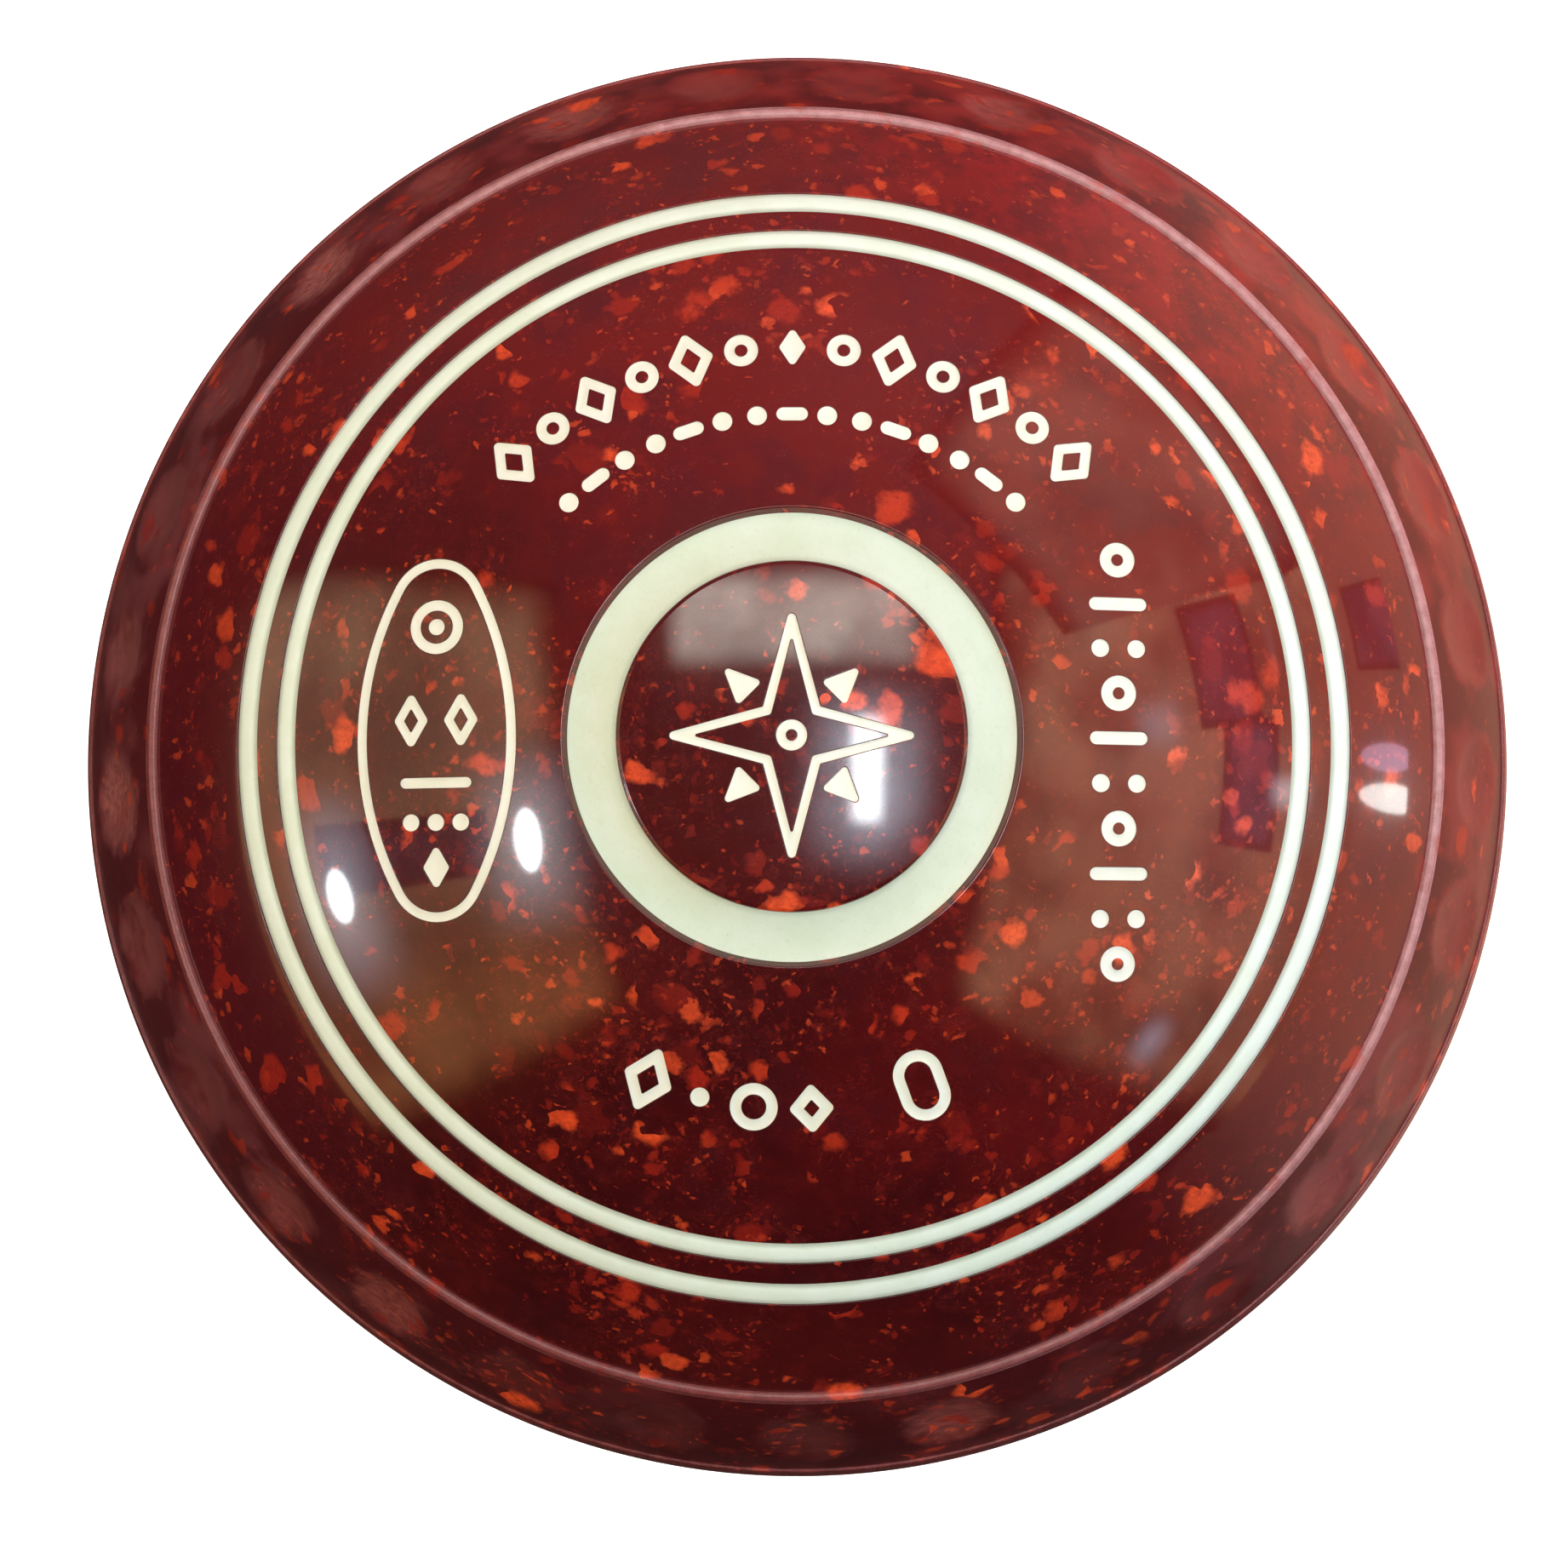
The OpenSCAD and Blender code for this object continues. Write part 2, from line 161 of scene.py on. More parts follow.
def outer_side(p, c, rr, k, key, from_r):
    """Cap from from_r over the lip bead, the grip band and the running surface to the running line."""
    run_r, bead, bz, br = side(c, rr, k)
    hit = circle_hit((0, c), rr, bead, BEAD_R, lambda q: -q[0])
    p.cap(c, rr, [x for x in ramp(from_r, hit[0] - 0.25, 0.8)][1:])
    p.cap(c, rr, [hit[0] - 0.12, hit[0] - 0.05])
    n_cap = np.array([hit[0], hit[1] - c]) / rr
    p.add(hit[0] - 0.012, hit[1] + 0.012 * hit[0] / rr, n_cap[0], n_cap[1], 2)
    a0 = up_angle(hit - bead)
    end = circle_hit((0, bz), br, bead, BEAD_R, lambda q: q[0])
    a1 = up_angle(end - bead)
    p.arc(bead[0], bead[1], BEAD_R, a0, a1, 14, mat=2)
    b0 = up_angle(end - np.array([0, bz]))
    b1 = up_angle(np.array([run_r, RUN_HW - bz]))
    rows = max(8, int(math.radians(b1 - b0) * br / 0.36))
    for i in range(1, rows + 1):
        b = b0 + (b1 - b0) * i / rows
        s, cc = math.sin(math.radians(b)), math.cos(math.radians(b))
        p.add(br * s, bz + br * cc, s, cc, 1, dim=key)
    nb = np.array([run_r, RUN_HW - bz]) / br
    mid = (math.degrees(math.asin((RUN_HW - bz) / br)) + math.degrees(math.atan2(bead[1] - bz, bead[0]))) / 2
    BAND_ROWS[key] = (bz, br, mid)
    f = 0.13
    p.add(run_r + 0.01, RUN_HW, 0.25, 1, 1)
    p.add(run_r + RUN_STEP - f, RUN_HW, 0, 1, 3)
    rr_run = k
    cen_r = R - k
    # convex rounding between the step and the crown
    z_f = RUN_HW - f
    cr = cen_r + math.sqrt((k - f) ** 2 - z_f ** 2)
    a_end = up_angle(np.array([cr - cen_r, z_f]))
    p.arc(cr, z_f, f, 12, a_end, 5, mat=3)
    zz = z_f + f * math.cos(math.radians(a_end))
    for z in ramp(zz, 0.0, 0.7)[1:]:
        r = cen_r + math.sqrt(k * k - z * z)
        p.add(min(r, R - 0.021), z, r - cen_r, z, 3)


face_in = Profile()          # dome edge, centre groove, out to the ornament field
ZI = FC + math.sqrt(FR ** 2 - DISC_IN ** 2)
ZO = FC + math.sqrt(FR ** 2 - DISC_OUT ** 2)
DOME_B, FIELD_A, FIELD_B = 11.7, 17.25, 36.85
face_in.cap(FC, FR, ramp(DOME_B, 12.2, 0.25))
e = 0.42
zc = FC + math.sqrt((FR - e) ** 2 - (DISC_IN - e) ** 2)
beta = math.degrees(math.asin((DISC_IN - e) / (FR - e)))
face_in.arc(DISC_IN - e, zc, e, beta, 90, 8)
face_in.line((DISC_IN, zc - 0.2), (DISC_IN + 0.02, ZI - 1.0), (1, 0), mat=0)
face_in.line((DISC_IN + 0.3, ZI - DISC_D), (DISC_OUT - 0.75, ZO - DISC_D + 0.2), (0, 1))
w0 = np.array([DISC_OUT - 0.4, ZO - 0.55])
wd = np.array([0.4, 0.55]) / math.hypot(0.4, 0.55)
wn = np.array([-wd[1], wd[0]])
face_in.add(w0[0], w0[1], wn[0], wn[1])
e2 = 0.16
lo_, hi_ = -0.5, 1.0
for _ in range(60):
    m_ = (lo_ + hi_) / 2
    cc_ = w0 + m_ * wd - e2 * wn
    if math.hypot(cc_[0], cc_[1] - FC) < FR - e2:
        lo_ = m_
    else:
        hi_ = m_
cc_ = w0 + lo_ * wd - e2 * wn
face_in.arc(cc_[0], cc_[1], e2, up_angle(wn), up_angle(cc_ - np.array([0, FC])), 6)
face_in.cap(FC, FR, [FIELD_A - 0.1, FIELD_A])

outer = Profile()            # from the ornament field over everything to the bias dome
outer.cap(FC, FR, [FIELD_B, FIELD_B + 0.3])
turned_line(outer, FC, FR, L2A, L2B)
outer.cap(FC, FR, ramp(L2B + 0.2, L1A - 0.2, 0.6))
turned_line(outer, FC, FR, L1A, L1B)
outer_side(outer, FC, FR, CROWN_FACE, 1, L1B + 0.1)

bias = Profile()             # the same for the bias side, mirrored below
DOME_C = 10.6
zd = BIAS_H - BIAS_DOME_GAP
dc = zd - BIAS_DOME_R
bias.cap(dc, BIAS_DOME_R, ramp(DOME_C, 12.2, 0.4))
zc2 = dc + math.sqrt((BIAS_DOME_R - e) ** 2 - (DISC_IN - e) ** 2)
bias.arc(DISC_IN - e, zc2, e, math.degrees(math.asin((DISC_IN - e) / (BIAS_DOME_R - e))), 90, 8)
bias.line((DISC_IN, zc2 - 0.2), (DISC_IN, zd - 2.6), (1, 0))
bias.line((DISC_IN + 0.1, zd - 2.6), (DISC_OUT - 0.5, zd - 2.6), (0, 1))
bias.line((DISC_OUT - 0.5, zd - 2.5), (DISC_OUT - 0.3, BIAS_H - 0.5), (-1, 0.1))
bias.line((DISC_OUT - 0.28, BIAS_H - 0.46), (DISC_OUT - 0.08, BIAS_H - 0.12), (-0.86, 0.5))
bias.arc(DISC_OUT + 0.1, BIAS_H - 0.12, 0.12, -60, 0, 5)
bias.line((DISC_OUT + 0.2, BIAS_H), (REST_OUT - 0.25, BIAS_H), (0, 1), 2)
bias.add(REST_OUT - 0.08, BIAS_H - 0.006, 0.09, 1)
bias.add(REST_OUT + 0.08, BC + math.sqrt(BR ** 2 - (REST_OUT + 0.08) ** 2) - 0.004, 0.22, 1)
bias.cap(BC, BR, ramp(REST_OUT + 0.3, BIAS_LINE_R - BIAS_LINE_W - 0.2, 0.9))
turned_line(bias, BC, BR, BIAS_LINE_R - BIAS_LINE_W, BIAS_LINE_R)
outer_side(bias, BC, BR, CROWN_BIAS, 2, BIAS_LINE_R + 0.1)
outer.rows += [(r, -z, nr, -nz, m, d) for r, z, nr, nz, m, d in bias.rows[::-1][1:]]


# --------------------------------------------------------------- mesh builder
class Mesh:
    def __init__(self):
        self.v, self.n, self.f, self.m, self.count = [], [], [], [], 0

    def verts(self, v, n):
        v = np.asarray(v, float).reshape(-1, 3)
        n = np.asarray(n, float).reshape(-1, 3)
        start = self.count
        self.v.append(v)
        self.n.append(n)
        self.count += len(v)
        return np.arange(start, self.count)

    def face(self, idx, mat=0):
        """idx: array of faces, 3 or 4 corners each."""
        idx = np.asarray(idx)
        if len(idx) == 0:
            return
        self.f.append(idx)
        self.m.append(np.full(len(idx), mat) if np.isscalar(mat) else np.asarray(mat))

    def strip(self, a, b, mat=0, closed=True):
        """Quads between two equal rows: a, then b to the right of it going down."""
        a2, b2 = (np.roll(a, -1), np.roll(b, -1)) if closed else (a[1:], b[1:])
        a1, b1 = (a, b) if closed else (a[:-1], b[:-1])
        self.face(np.stack([a1, a2, b2, b1], 1), mat)

    def build(self, name, weld=True):
        v = np.concatenate(self.v)
        n = np.concatenate(self.n)
        if weld:
            key = np.round(v * 1e5).astype(np.int64)
            _, first, inv = np.unique(key, axis=0, return_index=True, return_inverse=True)
            inv = inv.reshape(-1)
            v, n = v[first], n[first]
        else:
            inv = np.arange(len(v))
        loops, starts, totals, mats = [], [], [], []
        pos = 0
        for f, m in zip(self.f, self.m):
            g = inv[f]
            k = g.shape[1]
            ok = np.ones(len(g), bool)
            for i in range(k):
                ok &= g[:, i] != g[:, (i + 1) % k]
            g, mm = g[ok], m[ok]
            loops.append(g.reshape(-1))
            starts.append(pos + np.arange(len(g)) * k)
            totals.append(np.full(len(g), k))
            mats.append(mm)
            pos += len(g) * k
        loops, starts, totals, mats = map(np.concatenate, (loops, starts, totals, mats))
        me = bpy.data.meshes.new(name)
        me.vertices.add(len(v))
        me.vertices.foreach_set("co", (v * MM).astype(np.float32).reshape(-1))
        me.loops.add(len(loops))
        me.loops.foreach_set("vertex_index", loops.astype(np.int32))
        me.polygons.add(len(starts))
        me.polygons.foreach_set("loop_start", starts.astype(np.int32))
        me.polygons.foreach_set("material_index", mats.astype(np.int32))
        me.update(calc_edges=True)
        me.validate()
        me.polygons.foreach_set("use_smooth", np.ones(len(me.polygons), bool))
        n = n / np.linalg.norm(n, axis=1)[:, None]
        me.normals_split_custom_set_from_vertices(n.astype(np.float32).tolist())
        ob = bpy.data.objects.new(name, me)
        bpy.context.scene.collection.objects.link(ob)
        return ob


ANG = np.arange(N) * 2 * math.pi / N
CA, SA = np.cos(ANG), np.sin(ANG)


def soft_dimple(q2):
    """1 in the middle of a dimple, falling to 0 with a soft rim."""
    k = 9.0
    return np.log1p(np.exp(k * (1 - q2))) / k


def lathe(mesh, rows, zoff=EQ):
    """Rows from the pole outwards; returns the vertex rows."""
    P = np.zeros((len(rows), N, 3))
    Q = np.zeros((len(rows), N, 3))
    near = (np.degrees(ANG) - DIMPLE_TURN + 180 / DIMPLES) % (360 / DIMPLES) - 180 / DIMPLES
    for i, (r, z, nr, nz, mat, dim) in enumerate(rows):
        rad = np.full(N, float(r))
        zz = np.full(N, float(z))
        if dim:
            bz, br, mid = BAND_ROWS[dim]
            s = 1 if z > 0 else -1
            lat = math.degrees(math.atan2(s * z - bz, r))
            x = br * math.cos(math.radians(lat)) * np.radians(near)
            y = br * math.radians(lat - mid)
            d = DIMPLE_D * soft_dimple((x / (DIMPLE_W / 2)) ** 2 + (y / (DIMPLE_W / 2 + DIMPLE_STRETCH / 2)) ** 2)
            rad = r - d * nr
            zz = z - d * nz
        P[i, :, 0], P[i, :, 1], P[i, :, 2] = rad * CA, rad * SA, zz + zoff
        Q[i, :, 0], Q[i, :, 1], Q[i, :, 2] = nr * CA, nr * SA, nz
    # dimpled rows: normals from the surface itself
    dims = [i for i, row in enumerate(rows) if row[5]]
    for i in dims:
        if i - 1 in dims and i + 1 in dims:
            du = P[i + 1] - P[i - 1]
            dv = np.roll(P[i], -1, axis=0) - np.roll(P[i], 1, axis=0)
            nn = np.cross(du, dv)
            nn *= np.sign((nn * Q[i]).sum(1))[:, None]
            Q[i] = nn / np.linalg.norm(nn, axis=1)[:, None]
    ids = [mesh.verts(P[i], Q[i]) for i in range(len(rows))]
    for i in range(len(rows) - 1):
        mat = max(rows[i][4], rows[i + 1][4]) if rows[i][4] != rows[i + 1][4] else rows[i][4]
        # rows run outwards and down: counter-clockwise seen from outside
        mesh.face(np.stack([ids[i], ids[i + 1], np.roll(ids[i + 1], -1), np.roll(ids[i], -1)], 1), mat)
    return ids


# ------------------------------------------------------- small shapes in plan
def loop_normals(p):
    t = np.roll(p, -1, 0) - np.roll(p, 1, 0)
    n = np.stack([t[:, 1], -t[:, 0]], 1)
    return n / np.linalg.norm(n, axis=1)[:, None]


def circle_loop(r, n=48):
    a = np.arange(n) * 2 * math.pi / n
    return np.stack([r * np.cos(a), r * np.sin(a)], 1)


def round_poly(pts, rad, k=6, m=6):
    """Polygon (counter-clockwise) with rounded corners: k arc points a corner, m points a side."""
    pts = np.asarray(pts, float)
    n = len(pts)
    rad = np.broadcast_to(np.asarray(rad, float), (n,))
    ends = []
    for i in range(n):
        a, b, c = pts[i - 1], pts[i], pts[(i + 1) % n]
        u, v = (a - b) / np.linalg.norm(a - b), (c - b) / np.linalg.norm(c - b)
        half = math.acos(np.clip(u @ v, -1, 1)) / 2
        cut = min(rad[i] / math.tan(half), 0.45 * min(np.linalg.norm(a - b), np.linalg.norm(c - b)))
        r = cut * math.tan(half)
        bis = (u + v) / np.linalg.norm(u + v)
        cen = b + bis * math.hypot(cut, r)
        p0, p1 = b + u * cut, b + v * cut
        a0, a1 = math.atan2(*(p0 - cen)[::-1]), math.atan2(*(p1 - cen)[::-1])
        d = (a1 - a0 + math.pi) % (2 * math.pi) - math.pi
        ends.append([cen + r * np.array([math.cos(a0 + d * t / (k - 1)), math.sin(a0 + d * t / (k - 1))])
                     for t in range(k)])
    out = []
    for i in range(n):
        out += ends[i]
        p0, p1 = ends[i][-1], ends[(i + 1) % n][0]
        out += [p0 + (p1 - p0) * t / (m + 1) for t in range(1, m + 1)]
    return np.array(out)


def lozenge_pts(a, b):
    return [(a, 0), (0, b), (-a, 0), (0, -b)]


class Glyph:
    """outer: counter-clockwise loop; inner: matching loop of an open shape, or None."""

    def __init__(self, outer, inner=None):
        self.outer, self.inner = outer, inner

    def moved(self, ang=0.0, shift=(0, 0), pre=0.0):
        """Turns by pre (ccw), shifts, then turns clockwise by ang."""
        def t(p):
            c, s = math.cos(math.radians(pre)), math.sin(math.radians(pre))
            p = p @ np.array([[c, s], [-s, c]]) + np.array(shift)
            c, s = math.cos(math.radians(-ang)), math.sin(math.radians(-ang))
            return p @ np.array([[c, s], [-s, c]])
        return Glyph(t(self.outer), None if self.inner is None else t(self.inner))


def dot(r):
    return Glyph(circle_loop(r, 36))


def ring(r, w):
    return Glyph(circle_loop(r), circle_loop(r - w))


def lozenge(a, b, w):
    g = w * math.hypot(a, b)
    return Glyph(round_poly(lozenge_pts(a, b), 0.34),
                 round_poly(lozenge_pts(a - g / b, b - g / a), 0.09))


def solid_lozenge(a, b):
    return Glyph(round_poly(lozenge_pts(a, b), 0.28))


def bar(l, w):
    a = np.linspace(-math.pi / 2, math.pi / 2, 13)
    right = np.stack([(l - w) / 2 + w / 2 * np.cos(a), w / 2 * np.sin(a)], 1)
    top = np.stack([np.linspace((l - w) / 2, -(l - w) / 2, 8)[1:-1], np.full(6, w / 2)], 1)
    left = -right
    bot = -top
    return Glyph(np.concatenate([right, top, left, bot]))


def slot_ring(a, b, w):
    def lp(a_, h_):
        t = np.linspace(0, math.pi, 25)
        up = np.stack([a_ * np.cos(t), h_ + a_ * np.sin(t)], 1)
        dn = -up
        l = np.stack([np.full(5, -a_), np.linspace(h_, -h_, 7)[1:-1]], 1)
        return np.concatenate([up, l, dn, -l])
    return Glyph(lp(a, b - a), lp(a - w, b - a))


def oval_ring(a, b, e_, w):
    def lp(a_, b_, e1):
        k = (b_ - e1) ** 2
        big = (a_ * a_ + k - e1 * e1) / (2 * (a_ - e1))
        th = math.atan2(b_ - e1, big - a_)          # where side and end arcs meet
        t = np.linspace(-th, th, 41)
        right = np.stack([a_ - big + big * np.cos(t), big * np.sin(t)], 1)
        t = np.linspace(th, math.pi - th, 21)[1:-1]
        top = np.stack([e1 * np.cos(t), b_ - e1 + e1 * np.sin(t)], 1)
        return np.concatenate([right, top, -right, -top])
    return Glyph(lp(a, b, e_), lp(a - w, b - w, e_ - w))


def star(r, w):
    def pts(n, r1, r2):
        return [((r1 if i % 2 == 0 else r2) * math.cos(math.radians(90 + i * 180 / n)),
                 (r1 if i % 2 == 0 else r2) * math.sin(math.radians(90 + i * 180 / n))) for i in range(2 * n)]
    out = [Glyph(round_poly(pts(4, r, 0.30 * r), [0.3, 0.12] * 4, 6, 10),
                 round_poly(pts(4, r - 3.1 * w, 0.30 * r - 1.02 * w), [0.12, 0.3] * 4, 6, 10))]
    for i in range(4):
        tri = Glyph(round_poly([(-0.13 * r, -0.12 * r), (0.13 * r, -0.12 * r), (0, 0.17 * r)], 0.25))
        a = 45 + 90 * i
        g = tri.moved(pre=-90, shift=(0.56 * r, 0))
        out.append(g.moved(ang=-a))
    out.append(ring(0.115 * r, 0.9 * w))
    return out


GLYPHS = {"upper_lozenge_row": [], "upper_dot_row": [], "side_cartouche": [], "side_tick_column": [],
          "bottom_shape_row": []}
for i in range(13):
    a = -45 + 7.5 * i
    g = solid_lozenge(1.0, 1.6) if i == 6 else (lozenge(1.75, 2.3, STROKE) if i % 2 == 0 else ring(1.25, STROKE))
    GLYPHS["upper_lozenge_row"].append(g.moved(a, (0, 29.1)))
for i in range(15):
    g = bar(2.3, 1.0) if i % 3 == 1 else dot(0.72)
    GLYPHS["upper_dot_row"].append(g.moved(-43.4 + 6.2 * i, (0, 23.85)))
cart = [oval_ring(6.05, 13.4, 3.6, 0.70), ring(2.0, STROKE).moved(shift=(0, 8.3)), dot(0.6).moved(shift=(0, 8.3))]
cart += [lozenge(1.3, 2.2, STROKE * 0.85).moved(shift=(s * 1.9, 1.4)) for s in (-1, 1)]
cart += [bar(5.4, STROKE).moved(shift=(0, -3.2))]
cart += [dot(0.62).moved(shift=(s * 1.9, -6.1)) for s in (-1, 0, 1)]
cart += [solid_lozenge(1.0, 1.7).moved(shift=(0, -9.4))]
GLYPHS["side_cartouche"] = [g.moved(shift=(-26.2, 0)) for g in cart]
for i in range(10):
    y = 13.2 - 3.3 * i
    if i % 3 == 0:
        GLYPHS["side_tick_column"].append(ring(1.3, 0.85).moved(shift=(23.9, y)))
    elif i % 3 == 1:
        GLYPHS["side_tick_column"].append(bar(4.3, 0.95).moved(shift=(23.9, y)))
    else:
        GLYPHS["side_tick_column"] += [dot(0.66).moved(shift=(23.9 + s * 1.35, y)) for s in (-1, 1)]
GLYPHS["bottom_shape_row"] = [
    lozenge(1.9, 2.6, 0.82).moved(203, (0, 27.1), 180),
    dot(0.7).moved(194.5, (0, 27.1)),
    ring(1.75, 0.82).moved(186, (0, 27.1)),
    lozenge(1.7, 1.9, 0.82).moved(177, (0, 27.1), 180),
    slot_ring(1.85, 2.65, 0.82).moved(159.5, (0, 27.1))]
CENTRE = star(9.7, STROKE)
BIAS_STAR = star(8.6, STROKE)


class Dome:
    """A spherical surface over the plan; sgn -1 for the underside. Plan x, y as drawn in the CAD frame."""

    def __init__(self, c, rr, sgn):
        self.c, self.rr, self.sgn = c, rr, sgn

    def at(self, p, depth=0.0):
        d = np.broadcast_to(np.asarray(depth, float), (len(p),))
        z = self.c + np.sqrt((self.rr - d) ** 2 - (p ** 2).sum(1))
        return np.stack([p[:, 0], p[:, 1], EQ + self.sgn * z], 1)

    def normal(self, p):
        z = np.sqrt(self.rr ** 2 - (p ** 2).sum(1))
        return np.stack([p[:, 0], p[:, 1], self.sgn * z], 1) / self.rr


def inside(pts, loop):
    """Which points lie inside a loop."""
    res = np.zeros(len(pts), bool)
    lo, hi = loop.min(0), loop.max(0)
    sel = np.where((pts >= lo).all(1) & (pts <= hi).all(1))[0]
    if not len(sel):
        return res
    x, y = pts[sel, 0][:, None], pts[sel, 1][:, None]
    a, b = loop, np.roll(loop, -1, 0)
    cond = (a[:, 1] > y) != (b[:, 1] > y)
    with np.errstate(divide="ignore", invalid="ignore"):
        xi = (b[:, 0] - a[:, 0]) * (y - a[:, 1]) / (b[:, 1] - a[:, 1]) + a[:, 0]
    res[sel] = (np.sum(cond & (x < xi), 1) % 2) == 1
    return res


def engraved_field(mesh, dome, glyphs, rings_r, grid):
    """The polished field between boundary circles, with every glyph cut into it."""
    flip = dome.sgn < 0
    pts, edges = [], []
    count = 0

    def push(loop):
        nonlocal count
        pts.append(loop)
        idx = np.arange(count, count + len(loop))
        edges.append(np.stack([idx, np.roll(idx, -1)], 1))
        count += len(loop)
    for r in rings_r:
        push(np.stack([r * CA, r * SA], 1))
    cut = []
    for g in glyphs:
        lo = g.outer + EDGE * loop_normals(g.outer)
        li = None if g.inner is None else g.inner - EDGE * loop_normals(g.inner)
        push(lo)
        if li is not None:
            push(li)
        cut.append((lo, li))
    fixed = np.concatenate(pts)
    rmax, rmin = max(rings_r), (min(rings_r) if len(rings_r) > 1 else 0.0)
    gx = np.arange(-rmax, rmax + grid, grid)
    hx, hy = np.meshgrid(gx, gx * math.sqrt(3) / 2)
    hx = hx + (np.arange(hx.shape[0]) % 2)[:, None] * grid / 2
    q = np.stack([hx.ravel(), hy.ravel()], 1)
    rad = np.hypot(q[:, 0], q[:, 1])
    q = q[(rad < rmax - grid * 0.6) & (rad > (rmin + grid * 0.6 if rmin else -1))]
    keep = np.ones(len(q), bool)
    for i in range(0, len(q), 500):
        d = np.min(((q[i:i + 500, None] - fixed[None]) ** 2).sum(2), 1)
        keep[i:i + 500] = d > (grid * 0.4) ** 2
    q = q[keep]
    allp = np.concatenate([fixed, q])
    res = delaunay_2d_cdt([Vector(p) for p in allp.tolist()], [tuple(x) for x in np.concatenate(edges).tolist()],
                          [], 0, 1e-7, True)
    outv = np.array([allp[o[0]] if o else tuple(v) for v, o in zip(res[0], res[3])])
    tri = np.array(res[2])
    cen = outv[tri].mean(1)
    rad = np.hypot(cen[:, 0], cen[:, 1])
    ok = (rad < rmax) & (rad > rmin)
    for lo, li in cut:
        inn = inside(cen, lo)
        if li is not None:
            inn &= ~inside(cen, li)
        ok &= ~inn
    tri = tri[ok]
    area = np.cross(outv[tri[:, 1]] - outv[tri[:, 0]], outv[tri[:, 2]] - outv[tri[:, 0]])
    tri[area < 0] = tri[area < 0][:, ::-1]
    if flip:
        tri = tri[:, ::-1]
    ids = mesh.verts(dome.at(outv), dome.normal(outv))
    mesh.face(ids[tri], 0)
    # walls and floors
    for g in glyphs:
        floors = []
        for loop, sign in ((g.outer, 1), (g.inner, -1)):
            if loop is None:
                continue
            n2 = loop_normals(loop) * sign          # away from the groove
            nn = dome.normal(loop)
            prev = None
            for t in (0, 25, 50, 72, 90):
                s, c = math.sin(math.radians(t)), math.cos(math.radians(t))
                off = EDGE - EDGE * s
                p2 = loop + n2 * off
                if sign > 0 or True:
                    nrm = c * nn + s * np.concatenate([-n2, np.zeros((len(n2), 1))], 1)
                row = mesh.verts(dome.at(p2, EDGE - EDGE * c), nrm)
                if prev is not None:
                    a, b = prev, row
                    if (sign > 0) != flip:
                        mesh.face(np.stack([a, np.roll(a, -1), np.roll(b, -1), b], 1), 0)
                    else:
                        mesh.face(np.stack([a, b, np.roll(b, -1), np.roll(a, -1)], 1), 0)
                prev = row
            low = mesh.verts(dome.at(loop, ENG), np.concatenate([-n2, np.zeros((len(n2), 1))], 1))
            if (sign > 0) != flip:
                mesh.face(np.stack([prev, np.roll(prev, -1), np.roll(low, -1), low], 1), 0)
            else:
                mesh.face(np.stack([prev, low, np.roll(low, -1), np.roll(prev, -1)], 1), 0)
            floors.append(low)
        if len(floors) == 2:
            a, b = floors
            f = np.stack([a, np.roll(a, -1), np.roll(b, -1), b], 1)
        else:
            a = floors[0]
            cen = g.outer.mean(0)[None]
            c = mesh.verts(dome.at(cen, ENG), dome.normal(cen))
            f = np.stack([a, np.roll(a, -1), np.repeat(c, len(a))], 1)
        mesh.face(f[:, ::-1] if flip else f, 0)


